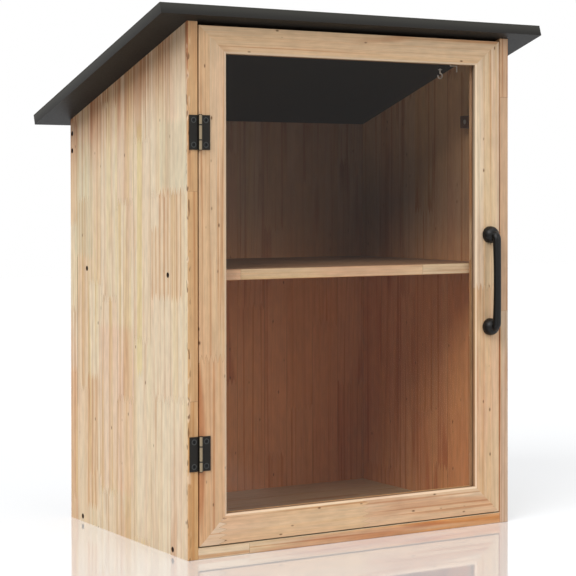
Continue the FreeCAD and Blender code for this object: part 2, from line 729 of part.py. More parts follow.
def make_catch():
    """The magnetic catch on the right wall and its strike plate on the door."""
    case_x = f"({INNER_RIGHT} - catch_width)"
    plate_y = f"({DOOR_BACK} + strike_thickness + catch_gap)"
    case_y = f"({plate_y} + catch_plate_reach)"
    low = "(catch_height - catch_tall / 2)"
    stack = "(magnet_thickness + 2 * catch_plate_thickness)"
    stack_z = f"(catch_height - {stack} / 2)"
    stack_x = f"({case_x} + catch_front_wall)"
    stack_width = "(catch_width - catch_front_wall - catch_rear_wall)"

    case = box("catch_block", ("catch_width", "catch_length", "catch_tall"), (case_x, case_y, low))
    fit = "2 * catch_pouch_fit"
    pouch = box("catch_pouch", (f"{stack_width} + {fit}", f"magnet_depth + {fit}", f"{stack} + {fit}"),
                (f"{stack_x} - catch_pouch_fit", f"{case_y} - catch_pouch_fit",
                 f"{stack_z} - catch_pouch_fit"))
    plates = [box(f"catch_plate_{number}",
                  (stack_width, "magnet_depth + catch_plate_reach", "catch_plate_thickness"),
                  (stack_x, plate_y, f"{stack_z} + {number} * (magnet_thickness + catch_plate_thickness)"))
              for number in (0, 1)]
    fuse("catch_plates", plates)
    box("catch_magnet", (stack_width, "magnet_depth", "magnet_thickness"),
        (stack_x, case_y, f"{stack_z} + catch_plate_thickness"))
    spot = (case_x, f"{case_y} + catch_length - catch_screw_inset", "catch_height")
    head = ("catch_head_radius", "catch_head_height")
    screws, holes = countersunk("catch_screws", [spot], Vector(-1, 0, 0), head,
                                "catch_screw_radius", "catch_width + catch_screw_length")
    cut("catch_case", case, [pouch, holes])

    strike_x = f"({DOOR_RIGHT} - strike_width - strike_edge_inset)"
    blank = box("strike_blank", ("strike_width", "strike_thickness", "strike_tall"),
                (strike_x, DOOR_BACK, "catch_height - strike_tall / 2"))
    strike_spots = [(f"{strike_x} + strike_width / 2", f"{DOOR_BACK} + strike_thickness",
                     f"catch_height + {step} * (strike_tall / 2 - strike_screw_inset)")
                    for step in (-1, 1)]
    strike_head = ("hinge_head_radius", "hinge_head_height")
    strike_screws, strike_holes = countersunk("strike_screws", strike_spots, Vector(0, 1, 0), strike_head,
                                              "hinge_shank_radius", "hinge_screw_length")
    cut("strike_plate", blank, [strike_holes])
    return holes, strike_holes


def make_hooks():
    """The cup hook and the square hook, screwed up into the roof board."""
    bores = []
    tops = {}
    for name in ("cup_hook", "square_hook"):
        x = f"({name}_across)"
        y = f"({FRONT} + {name}_back)"
        ceiling = f"(front_height - {name}_back * tan(roof_slope))"
        tops[name] = (x, y, ceiling)
        bores.append(rod(name + "_bore", "hook_wire_radius + screw_fit",
                         "hook_in_board + cutting_room + bore_end_room",
                         (x, y, f"{ceiling} - cutting_room")))

    x, y, ceiling = tops["cup_hook"]
    drop = f"({ceiling} - cup_hook_drop + 2 * hook_ring_radius)"
    ring = add("Part::Torus", "cup_hook_ring")
    bind(ring, Radius1="hook_ring_radius", Radius2="hook_wire_radius", Angle3="hook_ring_turn")
    # The ring starts at its top, under the shank, and runs round by the bottom to an open mouth.
    place(ring, x, y, f"{ceiling} - cup_hook_drop + hook_ring_radius",
          Rotation(Vector(0, 0, 1), Vector(1, 0, 0), Vector(0, 1, 0), "XYZ"))
    shank = rod("cup_hook_shank", "hook_wire_radius", f"{ceiling} + hook_in_board - ({drop})", (x, y, drop))
    collar = rod("cup_hook_collar", "hook_collar_radius", "hook_collar_height",
                 (x, y, f"{ceiling} - hook_collar_height - hook_collar_radius * tan(roof_slope)"))
    tip = bind(add("Part::Sphere", "cup_hook_elbow"), Radius="hook_wire_radius")
    place(tip, x, y, drop)
    fuse("cup_hook", [ring, shank, collar, tip])

    x, y, ceiling = tops["square_hook"]
    level = f"({ceiling} - square_hook_drop)"
    run = f"{x} + square_hook_run"
    pieces = [
        rod("square_hook_shank", "hook_wire_radius", "square_hook_drop + hook_in_board", (x, y, level)),
        rod("square_hook_cross", "hook_wire_radius", "square_hook_run", (x, y, level), Vector(1, 0, 0)),
        rod("square_hook_tip", "hook_wire_radius", "square_hook_leg", (run, y, level), UP * -1),
    ]
    for number, end in enumerate((x, run)):
        elbow = bind(add("Part::Sphere", f"square_hook_elbow_{number}"), Radius="hook_wire_radius")
        pieces.append(place(elbow, end, y, level))
    fuse("square_hook", pieces)
    return bores


def build():
    """Makes every sub-part; the order follows how the box goes together."""
    screws = make_screws()
    shelf_holes = screws["shelf_screws"][1]
    bottom_holes = screws["bottom_screws"][1]
    edge_holes = screws["back_edge_screws"][1]
    back_holes = screws["back_screws"][1]
    _, roof_holes = make_roof_screws()
    hinge_head = ("hinge_head_radius", "hinge_head_height")
    frame_spots, door_spots = [], []
    for height in ("upper_hinge_height", "lower_hinge_height"):
        frame_side, door_side = hinge_screw_spots(height)
        frame_spots += frame_side
        door_spots += door_side
    outward = Vector(0, -1, 0)
    _, frame_holes = countersunk("hinge_frame_screws", frame_spots, outward, hinge_head,
                                 "hinge_shank_radius", "hinge_screw_length")
    _, door_holes = countersunk("hinge_door_screws", door_spots, outward, hinge_head,
                                "hinge_shank_radius", "hinge_screw_length")
    catch_holes, strike_holes = make_catch()
    hook_bores = make_hooks()

    make_side_panel("left", [*shelf_holes, *bottom_holes, *edge_holes, *roof_holes, frame_holes])
    make_side_panel("right", [*shelf_holes, *bottom_holes, *edge_holes, *roof_holes, catch_holes])
    inner_width = "case_width - 2 * panel_thickness"
    make_board("bottom_panel", (inner_width, "case_depth - back_thickness", "panel_thickness"),
               (INNER_LEFT, FRONT, "0"), [*bottom_holes, *back_holes], True)
    make_board("shelf", (inner_width, "case_depth - back_thickness - shelf_setback", "panel_thickness"),
               (INNER_LEFT, f"{FRONT} + shelf_setback", "shelf_underside"),
               [*shelf_holes, *back_holes], True)
    make_back_panel([*edge_holes, *back_holes])
    make_roof([*roof_holes, *hook_bores])

    handle_bores = make_handle()
    _, dowel_bores = make_dowels()
    bead_holes = make_pane_and_beads()
    make_stile("hinge_stile", "left", [door_holes, bead_holes, *dowel_bores])
    make_stile("latch_stile", "right", [*handle_bores, strike_holes, bead_holes, *dowel_bores])
    make_rail("door_top_rail", "top", [bead_holes, *dowel_bores])
    make_rail("door_bottom_rail", "bottom", [bead_holes, *dowel_bores])
    for name in ("upper", "lower"):
        make_hinge(name, f"{name}_hinge_height", frame_holes, door_holes)


NODES = [
    "left_side_panel", "right_side_panel", "bottom_panel", "back_panel", "shelf", "roof_board",
    "roof_felt", "shelf_screws", "bottom_screws", "back_edge_screws", "back_screws", "roof_screws",
    "upper_hinge_frame_leaf", "lower_hinge_frame_leaf", "upper_hinge_pin", "lower_hinge_pin",
    "hinge_frame_screws", "cup_hook", "square_hook", "catch_case", "catch_magnet", "catch_plates",
    "catch_screws", "hinge_stile", "latch_stile", "door_top_rail", "door_bottom_rail",
    "corner_dowels", "door_pane", "pane_bead_left", "pane_bead_right", "pane_bead_top",
    "pane_bead_bottom", "bead_pins", "upper_hinge_door_leaf", "lower_hinge_door_leaf",
    "hinge_door_screws", "door_handle", "handle_screws", "strike_plate", "strike_screws",
]


def check_and_write():
    """Checks every object and sub-part, then writes one file for each sub-part."""
    doc.recompute()
    for thing in doc.Objects:
        assert not {"Invalid", "Error"} & set(thing.State), f"{thing.Label}: {thing.State}"
    os.makedirs("parts", exist_ok=True)
    for label in NODES:
        shape = doc.getObjectsByLabel(label)[0].Shape
        assert not shape.isNull() and shape.isValid(), f"{label}: bad shape"
        shape.exportStep(f"parts/{label}.step")
        print(f"{label}: {len(shape.Solids)} solid(s), {shape.Volume:.1f} mm3")


build()
check_and_write()
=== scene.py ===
# %% [markdown]
# # A pine book exchange box
#
# The box is a small glazed cabinet: edge-glued pine boards, a picture-frame door with a clear pane,
# a dark sloping roof and black ironmongery. The solids are already built, at their real size, so
# this lesson finishes them: it sets up the camera and the light, gives every surface its material,
# and makes the small repeated hardware with Geometry Nodes. All lengths are metres.

# %% The built solids
import math
import random
from types import SimpleNamespace

import bpy
from mathutils import Euler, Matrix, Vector


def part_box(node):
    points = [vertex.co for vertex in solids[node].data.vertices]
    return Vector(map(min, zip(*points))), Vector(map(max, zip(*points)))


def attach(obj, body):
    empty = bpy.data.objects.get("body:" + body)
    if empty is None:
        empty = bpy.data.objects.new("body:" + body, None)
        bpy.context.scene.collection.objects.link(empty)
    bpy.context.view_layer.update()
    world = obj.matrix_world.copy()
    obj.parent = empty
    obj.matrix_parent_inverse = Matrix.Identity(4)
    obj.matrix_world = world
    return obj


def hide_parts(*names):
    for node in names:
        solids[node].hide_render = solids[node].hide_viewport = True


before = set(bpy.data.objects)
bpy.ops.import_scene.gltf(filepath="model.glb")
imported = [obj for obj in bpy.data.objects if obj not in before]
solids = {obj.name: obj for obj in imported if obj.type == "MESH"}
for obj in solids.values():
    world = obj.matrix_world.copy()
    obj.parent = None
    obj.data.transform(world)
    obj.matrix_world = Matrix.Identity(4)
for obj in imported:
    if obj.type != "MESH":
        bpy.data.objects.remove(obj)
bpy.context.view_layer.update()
MM = 0.001

# %% [markdown]
# ## The camera
#
# A photograph of a box gives its camera away: the vanishing points of the three sets of parallel
# edges fix the focal length and the direction, and one known length fixes the distance. Here the
# camera stands to the left, a little above half height, and looks almost level. The foot of the
# box would leave the picture, so the frame is shifted down instead of tilting the camera, which
# keeps upright edges upright.

# %% The camera
IMAGE_SIZE_PX = 576
FOCAL_LENGTH_PX = 1747.1
OPTICAL_ROW_PX = 212.2
SENSOR_MM = 36.0
CAMERA_PLACE = (-1.1147, -1.8386, 0.3993)
CAMERA_TURN_DEGREES = (89.447, 0.066, -31.241)

camera_data = bpy.data.cameras.new("camera")
camera_data.sensor_width = SENSOR_MM
camera_data.lens = FOCAL_LENGTH_PX / IMAGE_SIZE_PX * SENSOR_MM
camera_data.shift_y = (OPTICAL_ROW_PX - IMAGE_SIZE_PX / 2) / IMAGE_SIZE_PX
camera = bpy.data.objects.new("camera", camera_data)
camera.location = CAMERA_PLACE
camera.rotation_euler = Euler([math.radians(turn) for turn in CAMERA_TURN_DEGREES])
bpy.context.scene.collection.objects.link(camera)
bpy.context.scene.camera = camera
bpy.context.scene.view_settings.view_transform = "Standard"
print(f"lens {camera_data.lens:.2f} mm, shift {camera_data.shift_y:.4f}")

# %% [markdown]
# ## Helpers for materials
#
# Colours are written as the hex codes that a colour picker shows, which are sRGB. A shader works
# with linear light, so one function turns the one into the other. The second helper adds a node to
# a tree: it takes the node's settings by name, and its inputs by name or in order, as plain values
# or as the nodes that feed them.

# %% Colour and node helpers
MATH = "ShaderNodeMath"


def linear(hex_code):
    """The linear colour of an sRGB hex code such as #d8b98c."""
    shares = [int(hex_code[place:place + 2], 16) / 255 for place in (1, 3, 5)]
    return [share / 12.92 if share <= 0.04045 else ((share + 0.055) / 1.055) ** 2.4
            for share in shares] + [1.0]


def add(tree, kind, inputs=(), **settings):
    """Adds a node with its settings, and sets or links its live inputs, by name or in order."""
    made = tree.nodes.new(kind)
    for setting, value in settings.items():
        setattr(made, setting, value)
    live = [socket for socket in made.inputs if socket.enabled]
    for key, value in inputs.items() if isinstance(inputs, dict) else enumerate(inputs):
        socket = live[key] if isinstance(key, int) else next(s for s in live if s.name == key)
        if isinstance(value, bpy.types.Node):
            value = next(output for output in value.outputs if output.enabled)
        if isinstance(value, bpy.types.NodeSocket):
            tree.links.new(value, socket)
        else:
            socket.default_value = value
    return made


def new_material(title):
    """An empty material and its node tree."""
    material = bpy.data.materials.new(title)
    material.use_nodes = True
    material.node_tree.nodes.clear()
    return material, material.node_tree


def finish_solid(name, material):
    """Gives every material slot of a built solid this finish."""
    mesh = solids[name].data
    for place in range(len(mesh.materials)):
        mesh.materials[place] = material


print("mid grey #808080 is", [round(value, 3) for value in linear("#808080")[:3]])

# %% [markdown]
# ## The studio
#
# The box stands on a white gloss sweep under soft light. Three broad suns light it: a key from the
# left, a weak fill from the right, and one from overhead that keeps the floor white. A sun has no
# falloff, so the whole floor gets the same light and meets the white surround without a line. Floor
# and surround count as white for the camera, for reflections and through the pane, and throw back
# less light than that on the box, so that the overhanging roof keeps its soft shadow on the side
# wall.

# %% Floor and surround
WHITE = "#f8fafd"
BOUNCE = "#b4b2ae"
POLISH = 0.4
GLOSS_ROUGHNESS = 0.05
GLOSS_IOR = 2.0
AMBIENT = 0.26
FLOOR_REACH = 6.0

floor_mesh = bpy.data.meshes.new("floor")
floor_mesh.from_pydata([(-FLOOR_REACH, -FLOOR_REACH, 0), (FLOOR_REACH, -FLOOR_REACH, 0),
                        (FLOOR_REACH, FLOOR_REACH, 0), (-FLOOR_REACH, FLOOR_REACH, 0)],
                       [], [(0, 1, 2, 3)])
floor = bpy.data.objects.new("floor", floor_mesh)
bpy.context.scene.collection.objects.link(floor)


def any_ray(tree, *kinds):
    """1 for a ray that is of one of these kinds, such as Is Camera Ray."""
    path = add(tree, "ShaderNodeLightPath")
    found = path.outputs[kinds[0]]
    for kind in kinds[1:]:
        found = add(tree, MATH, [found, path.outputs[kind]], operation="MAXIMUM")
    return found


floor_material, tree = new_material("white gloss sweep")
seen = any_ray(tree, "Is Camera Ray", "Is Glossy Ray", "Is Transmission Ray")
paint = add(tree, "ShaderNodeMix", {"Factor": seen, "A": linear(BOUNCE), "B": linear(WHITE)},
            data_type="RGBA")
polish = add(tree, MATH, [any_ray(tree, "Is Camera Ray"), POLISH], operation="MULTIPLY")
sweep = add(tree, "ShaderNodeBsdfPrincipled", {"Base Color": paint, "Metallic": polish,
                                               "Roughness": GLOSS_ROUGHNESS, "IOR": GLOSS_IOR})
add(tree, "ShaderNodeOutputMaterial", {"Surface": sweep})
floor_mesh.materials.append(floor_material)

world = bpy.data.worlds.new("surround")
bpy.context.scene.world = world
world.use_nodes = True
tree = world.node_tree
tree.nodes.clear()
seen = any_ray(tree, "Is Camera Ray", "Is Glossy Ray", "Is Transmission Ray")
strength = add(tree, "ShaderNodeMapRange", {"Value": seen, "To Min": AMBIENT, "To Max": 1.0})
surround = add(tree, "ShaderNodeBackground", {"Color": linear("#ffffff"), "Strength": strength})
add(tree, "ShaderNodeOutputWorld", {"Surface": surround})
print("surround:", AMBIENT, "as a lamp, 1.0 as seen")


# %% Lamps
def add_sun(title, source, spread_degrees, level):
    """A soft sun that shines from a direction. Level 1 shows a white card facing it as white."""
    data = bpy.data.lights.new(title, "SUN")
    data.angle = math.radians(spread_degrees)
    data.energy = level * math.pi
    lamp = bpy.data.objects.new(title, data)
    lamp.rotation_euler = Vector(source).to_track_quat("Z", "Y").to_euler()
    bpy.context.scene.collection.objects.link(lamp)


add_sun("key", source=(-1.0, -0.5, 0.95), spread_degrees=38, level=0.79)
add_sun("fill", source=(0.3, -1.0, 0.45), spread_degrees=38, level=0.20)
add_sun("overhead", source=(0.05, -0.1, 1.0), spread_degrees=50, level=0.34)
print("lamps:", [(light.name, round(light.energy, 2)) for light in bpy.data.lights])

# %% [markdown]
# ## Pine, part one: the boards are made of pieces
#
# The walls, shelf and floor of the box are edge-glued board: staves of different widths lie side
# by side, and each stave is a row of shorter lengths joined end to end with a comb of fingers. Each
# length comes from another tree, so each has its own tone and its own rings. The shader needs two
# numbers for that at every point: its stave, and its length in that stave. The glue
# lines are given as places across the board. Counting the lines that a point lies past numbers its
# stave, and the distance to the nearest one draws the line.

# %% Staves and lengths
FINGER_PITCH = 6 * MM
FINGER_LENGTH = 10 * MM
GLUE_LINE = 0.5 * MM


def fingered(tree, across, along):
    """The place along the grain, bent so that a straight cut across it comes out as a comb."""
    finger = add(tree, MATH, [across, FINGER_PITCH / 2], operation="PINGPONG")
    return add(tree, MATH, [finger, 2 * FINGER_LENGTH / FINGER_PITCH, along], operation="MULTIPLY_ADD")


def staves(tree, across, along, glue_lines, length, seed):
    """The number of the stave and length at a point, and how much of a glue line shows there."""
    stave, nearest = 0.0, 1.0
    for line in glue_lines:
        offset = add(tree, MATH, [across, line], operation="SUBTRACT")
        past = add(tree, MATH, [offset, 0.0], operation="GREATER_THAN")
        stave = add(tree, MATH, [past, stave], operation="ADD")
        distance = add(tree, MATH, [offset], operation="ABSOLUTE")
        nearest = add(tree, MATH, [distance, nearest], operation="MINIMUM")
    own = add(tree, "ShaderNodeCombineXYZ", {"X": stave, "Y": seed})
    start = add(tree, "ShaderNodeTexWhiteNoise", {"Vector": own}, noise_dimensions="3D")
    shifted = add(tree, MATH, [start, length, fingered(tree, across, along)], operation="MULTIPLY_ADD")
    run = add(tree, MATH, [shifted, length], operation="DIVIDE")
    number = add(tree, MATH, [run], operation="FLOOR")
    joint = add(tree, MATH, [run, 0.5], operation="PINGPONG")
    joint = add(tree, MATH, [joint, length], operation="MULTIPLY")
    glue = add(tree, MATH, [joint, nearest], operation="MINIMUM")
    glue = add(tree, "ShaderNodeMapRange", {"Value": glue, "From Max": GLUE_LINE, "To Min": 1.0,
                                            "To Max": 0.0})
    piece = add(tree, "ShaderNodeCombineXYZ", {"X": stave, "Y": number, "Z": seed})
    return piece, glue


# %% [markdown]
# ## Pine, part two: rings, fibres and flecks
#
# A tree grows a pale soft layer in spring and a thin dark one in summer, so a board shows its rings
# as pairs of lines. They are circles round the heart of the tree. A board cut far from the heart
# shows straight lines, and one cut past it shows wide arches. Measuring the distance to a heart
# that lies outside the board, in three dimensions, gives both, and gives curved rings on the end
# grain for nothing. The ring fades in slowly and stops sharply, as the year's growth does.

# %% Growth rings
# Where the heart of a tree lies beside its board: a place, and how far chance moves it.
HEART_SPREAD_ACROSS = 180 * MM
HEART_SPREAD_DEPTH = 70 * MM
HEART_PLACE = (-90 * MM, 25 * MM, 0)
RING_WANDER = 8 * MM
RING_DRIFT = (16.0, 16.0, 1.8)
GRAIN_LEAN = 0.025
NARROW_RING, WIDE_RING = 0.6, 1.6
# The ring's darkness through the year, from spring at 0 to the end of summer at 1.
SEASONS = ((0.55, 0.08), (0.76, 0.6), (0.86, 1.0), (0.92, 0.3))


def growth_rings(tree, across, depth, along, chance, ring_width):
    """The dark summer wood, from 0 to 1, for a length of timber with its own random numbers."""
    heart_side = add(tree, MATH, [chance.outputs["Red"], HEART_SPREAD_ACROSS, across],
                     operation="MULTIPLY_ADD")
    heart_depth = add(tree, MATH, [chance.outputs["Green"], HEART_SPREAD_DEPTH, depth],
                      operation="MULTIPLY_ADD")
    moved = add(tree, "ShaderNodeCombineXYZ", {"X": heart_side, "Y": heart_depth})
    from_heart = add(tree, "ShaderNodeVectorMath", [moved, HEART_PLACE], operation="ADD")
    radius = add(tree, "ShaderNodeVectorMath", [from_heart], operation="LENGTH")
    here = add(tree, "ShaderNodeCombineXYZ", {"X": across, "Y": depth, "Z": along})
    drift = stretched_noise(tree, here, RING_DRIFT, 1.5)
    wander = add(tree, MATH, [drift, RING_WANDER, radius.outputs["Value"]], operation="MULTIPLY_ADD")
    lean = shares(tree, chance.outputs["Blue"], -GRAIN_LEAN, GRAIN_LEAN)
    leaning = add(tree, MATH, [lean, along, wander], operation="MULTIPLY_ADD")
    width = shares(tree, chance.outputs["Blue"], NARROW_RING * ring_width, WIDE_RING * ring_width)
    year = add(tree, MATH, [leaning, width], operation="DIVIDE")
    season = add(tree, MATH, [year], operation="FRACT")
    ramp = add(tree, "ShaderNodeValToRGB", {"Fac": season})
    stops = ramp.color_ramp.elements
    stops[0].color = stops[1].color = (0.0, 0.0, 0.0, 1)
    for position, level in SEASONS:
        stops.new(position).color = (level, level, level, 1)
    return ramp.outputs["Color"]


# %% Fibres, streaks and flecks
# Cells per metre across the board, through it and along the grain, and the size of their dark middle.
FLECK_CELLS = (120.0, 24.0, 55.0)
FLECK_CORE, FLECK_RIM = 0.05, 0.16


def stretched_noise(tree, place, stretch, detail):
    """Noise drawn out along the grain."""
    drawn = add(tree, "ShaderNodeVectorMath", [place, stretch], operation="MULTIPLY")
    return add(tree, "ShaderNodeTexNoise", {"Vector": drawn, "Scale": 1.0, "Detail": detail}).outputs[0]


def above(tree, value, low, high):
    """0 below the low level, 1 above the high one, and a smooth rise between."""
    return add(tree, "ShaderNodeMapRange", {"Value": value, "From Min": low, "From Max": high},
               interpolation_type="SMOOTHSTEP")


def resin_flecks(tree, place, share):
    """Short dark dashes along the grain, from pin knots and resin ducts."""
    drawn = add(tree, "ShaderNodeVectorMath", [place, FLECK_CELLS], operation="MULTIPLY")
    cells = add(tree, "ShaderNodeTexVoronoi", {"Vector": drawn, "Scale": 1.0})
    near = add(tree, "ShaderNodeMapRange", {"Value": cells.outputs["Distance"], "From Min": FLECK_CORE,
                                            "From Max": FLECK_RIM, "To Min": 1.0, "To Max": 0.0})
    chance = add(tree, "ShaderNodeSeparateColor", {"Color": cells.outputs["Color"]})
    rare = add(tree, MATH, [chance.outputs["Red"], share], operation="LESS_THAN")
    return both(tree, near, rare)


# %% [markdown]
# ## Pine, part three: the finish
#
# The timber is planed and thinly oiled, so it is matt with a slight sheen. Its colour goes from a
# pale straw to a warm orange. Some lengths are pinker and some yellower than others, and each
# pattern only shifts the colour a little, one over the other. A side that takes more oil, such as a
# sawn edge or the inside of the box, gets a stain by the way that it faces, and the same step paints
# shade and light on some sides. The arris round the pane has a painted highlight, the palest line
# on the door, and the frame's side towards the pane has painted shade that deepens inwards.

# %% Colour steps
def tint(tree, colour, share, hex_code, blend="MIX"):
    """Moves a colour towards another by a share, or multiplies it by that colour, as a glaze does."""
    return add(tree, "ShaderNodeMix", {"Factor": share, "A": colour, "B": linear(hex_code)},
               data_type="RGBA", blend_type=blend)


def facing(tree, normals, side):
    """1 where the surface faces a side of the box, such as -Y for the front."""
    sign = 1.0 if side[0] == "+" else -1.0
    turned = add(tree, MATH, [normals.outputs[side[1]], sign], operation="MULTIPLY")
    return add(tree, MATH, [turned, 0.7], operation="GREATER_THAN")


def shares(tree, pattern, low, high):
    """Spreads a pattern of 0 to 1 between two levels."""
    return add(tree, "ShaderNodeMapRange", {"Value": pattern, "To Min": low, "To Max": high})


def between(tree, value, low, high):
    """1 between two levels, and 0 outside them."""
    past = add(tree, MATH, [value, low], operation="GREATER_THAN")
    short = add(tree, MATH, [value, high], operation="LESS_THAN")
    return both(tree, past, short)


def both(tree, first, second):
    """The overlap of two patterns."""
    return add(tree, MATH, [first, second], operation="MULTIPLY")


# %% Colours, patterns and places
# Tones of the wood itself, and of what lies in it.
PINE_PALE = "#dfcdb1"
PINE_WARM = "#cf9658"
PINE_PINK = "#d9a88e"
PINE_STRAW = "#d9c489"
PINE_GREY = "#cbc4a6"
HEARTWOOD = "#c77c33"
PINE_FLECK = "#68431f"
PINE_GLUE = "#7d5836"
# A pale colour for nicks, which is also the painted highlight of the arris.
PALE_NICK_AND_ARRIS_HIGHLIGHT = "#f0dbc0"
# Painted shade on the frame's side towards the pane.
SIGHT_SHADE = "#45260f"
# Glazes multiply the wood: summer rings, resin, and the brown under the roof, partly stain and partly
# painted shade.
SUMMER_GLAZE = "#d2a06a"
PITCH_GLAZE = "#cf9256"
EAVE_STAIN_AND_SHADE_GLAZE = "#bd8048"

# Each pattern's fineness per metre across, through and along the board, and its detail.
PATTERNS = {
    "fibre": ((1000.0, 1000.0, 24.0), 2.0),
    "hairline": ((230.0, 230.0, 2.0), 2.0),
    "streak": ((95.0, 95.0, 2.2), 2.5),
    "cloud": ((16.0, 16.0, 5.0), 1.0),
    "figure": ((42.0, 42.0, 4.5), 1.5),
    "mottle": ((170.0, 170.0, 50.0), 3.0),
}
PIECE_SHIFT = (0.73, 0.41, 0.19)
STREAK_WEIGHT, STREAK_LEVEL = 0.6, 0.35
STRIPE_PITCH = 10 * MM
STRIPE_WOBBLE = 6 * MM
HEART_SHARE = 0.85
EAVE_STAIN_AND_SHADE_BAND = (-105 * MM, -10 * MM)
NICK_REACH, NICK_FULL = 5 * MM, 1 * MM
# Nicks of the front left corner: fineness, level, colour and share.
NICKS = ((180.0, 0.6, PALE_NICK_AND_ARRIS_HIGHLIGHT, 0.4), (260.0, 0.58, PINE_FLECK, 0.8))
# Facing of the arris that carries the painted highlight, and its share.
ARRIS_HIGHLIGHT_FACING, ARRIS_HIGHLIGHT_SHARE = -0.935, 0.45
# Heights where the inside coat turns to the upper painted shade, and that to the top painted light.
SHADE_AND_LIGHT_HEIGHTS = ((250 * MM, 400 * MM), (370 * MM, 560 * MM))
ROOF_SLOPE = math.radians(17.4)
ROOF_FRONT = (-154.5 * MM, 590.0 * MM)
HALF_WIDTH, HALF_DEPTH = 221 * MM, 154.5 * MM
DOOR_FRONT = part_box("latch_stile")[0][1]
PANE_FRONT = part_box("door_pane")[0][1]


def over_roof_line(tree, axes):
    """The height of a point over the plane of the roof's underside."""
    plane = -(ROOF_FRONT[0] * math.tan(ROOF_SLOPE) + ROOF_FRONT[1])
    height = add(tree, MATH, [axes.outputs["Y"], math.tan(ROOF_SLOPE), axes.outputs["Z"]],
                 operation="MULTIPLY_ADD")
    return add(tree, MATH, [height, plane], operation="ADD")


def read_board(tree, grain, across, glue_lines, length, seed):
    """The places, directions, random numbers and patterns that every step of the finish shares."""
    place = add(tree, "ShaderNodeTexCoord")
    axes = add(tree, "ShaderNodeSeparateXYZ", [place.outputs["Object"]])
    normals = add(tree, "ShaderNodeSeparateXYZ", [place.outputs["Normal"]])
    through = (set("XYZ") - {grain, across}).pop()
    u, w, v = (axes.outputs[axis] for axis in (across, through, grain))
    here = add(tree, "ShaderNodeCombineXYZ", {"X": u, "Y": w, "Z": v})
    piece, glue = staves(tree, u, v, glue_lines, length, seed)
    chance = add(tree, "ShaderNodeTexWhiteNoise", {"Vector": piece}, noise_dimensions="3D")
    chance = add(tree, "ShaderNodeSeparateColor", {"Color": chance.outputs["Color"]})
    own_place = add(tree, "ShaderNodeVectorMath", [piece, PIECE_SHIFT, here], operation="MULTIPLY_ADD")
    patterns = {name: stretched_noise(tree, own_place, stretch, detail)
                for name, (stretch, detail) in PATTERNS.items()}
    return SimpleNamespace(tree=tree, axes=axes, normals=normals, across=u, depth=w, along=v, glue=glue,
                           chance=chance, own_place=own_place, **patterns)


# %% Steps of the pine's colour
def tone_of_length(board, tone, spread, pink, straw):
    """Between pale and warm by chance and streaks, then partly pink and partly straw."""
    tree, chance = board.tree, board.chance.outputs
    warmth = shares(tree, chance["Green"], tone - spread - STREAK_LEVEL, tone + spread - STREAK_LEVEL)
    warmth = add(tree, MATH, [board.streak, STREAK_WEIGHT, warmth], operation="MULTIPLY_ADD")
    warmth = add(tree, "ShaderNodeClamp", {"Value": warmth})
    colour = tint(tree, linear(PINE_PALE), warmth, PINE_WARM)
    rosy = both(tree, above(tree, board.cloud, 0.4, 0.65), chance["Blue"])
    colour = tint(tree, colour, shares(tree, rosy, 0.0, pink), PINE_PINK)
    yellow = both(tree, above(tree, board.streak, 0.45, 0.6), chance["Red"])
    return tint(tree, colour, shares(tree, yellow, 0.0, straw), PINE_STRAW)


def known_lengths(board, colour, lengths):
    """Gives single lengths of a board a tone of their own, and some of them dark stripes."""
    tree = board.tree
    comb = fingered(tree, board.across, board.along)
    for low, high, bottom, top, hex_code, share, striped in lengths:
        inside = both(tree, between(tree, board.across, low * MM, high * MM),
                      between(tree, comb, bottom * MM, top * MM))
        colour = tint(tree, colour, shares(tree, inside, 0.0, share), hex_code)
        if striped:
            wobble = add(tree, MATH, [board.cloud, STRIPE_WOBBLE, board.across], operation="MULTIPLY_ADD")
            stripe = add(tree, MATH, [wobble, STRIPE_PITCH / 2], operation="PINGPONG")
            dark = both(tree, above(tree, stripe, 0.25 * STRIPE_PITCH, 0.5 * STRIPE_PITCH), inside)
            colour = tint(tree, colour, shares(tree, dark, 0.0, striped), SUMMER_GLAZE, "MULTIPLY")
    return colour


def heartwood(board, colour, start, full):
    """An orange flame on the front edge, which grows along the grain between two places."""
    tree = board.tree
    deep = both(tree, above(tree, board.along, start, full), facing(tree, board.normals, "-Y"))
    deep = both(tree, deep, above(tree, board.streak, 0.36, 0.56))
    return tint(tree, colour, shares(tree, deep, 0.0, HEART_SHARE), HEARTWOOD)


def side_coat_shade_and_light(board, colour, side, hex_code, share, *higher):
    """A coat on one side, which may turn higher up to painted shade and then to painted light."""
    tree = board.tree
    coat = linear(hex_code)
    for change, upper in zip(SHADE_AND_LIGHT_HEIGHTS, higher):
        coat = tint(tree, coat, above(tree, board.axes.outputs["Z"], *change), upper)
    on_side = both(tree, facing(tree, board.normals, side), share)
    return add(tree, "ShaderNodeMix", {"Factor": on_side, "A": colour, "B": coat}, data_type="RGBA")


def grain_lines(board, colour, summer, pitch, lines):
    """Summer rings, flames of resin and thin dark lines, each as a glaze."""
    tree = board.tree
    flame = shares(tree, above(tree, board.figure, 0.6, 0.7), 0.0, pitch)
    thin = shares(tree, above(tree, board.hairline, 0.58, 0.66), 0.0, lines)
    for pattern, glaze in ((summer, SUMMER_GLAZE), (flame, PITCH_GLAZE), (thin, SUMMER_GLAZE)):
        colour = tint(tree, colour, pattern, glaze, "MULTIPLY")
    return colour


def eave_stain_and_shade(board, colour, outside, share):
    """A brown band under the roof on the outer side of a wall, partly stain and partly painted shade of
    the overhang, with the grain showing through.
    """
    tree = board.tree
    band = both(tree, above(tree, over_roof_line(tree, board.axes), *EAVE_STAIN_AND_SHADE_BAND),
                shares(tree, above(tree, board.hairline, 0.42, 0.6), 0.4, 1.0))
    band = both(tree, band, facing(tree, board.normals, outside))
    return tint(tree, colour, shares(tree, band, 0.0, share), EAVE_STAIN_AND_SHADE_GLAZE, "MULTIPLY")


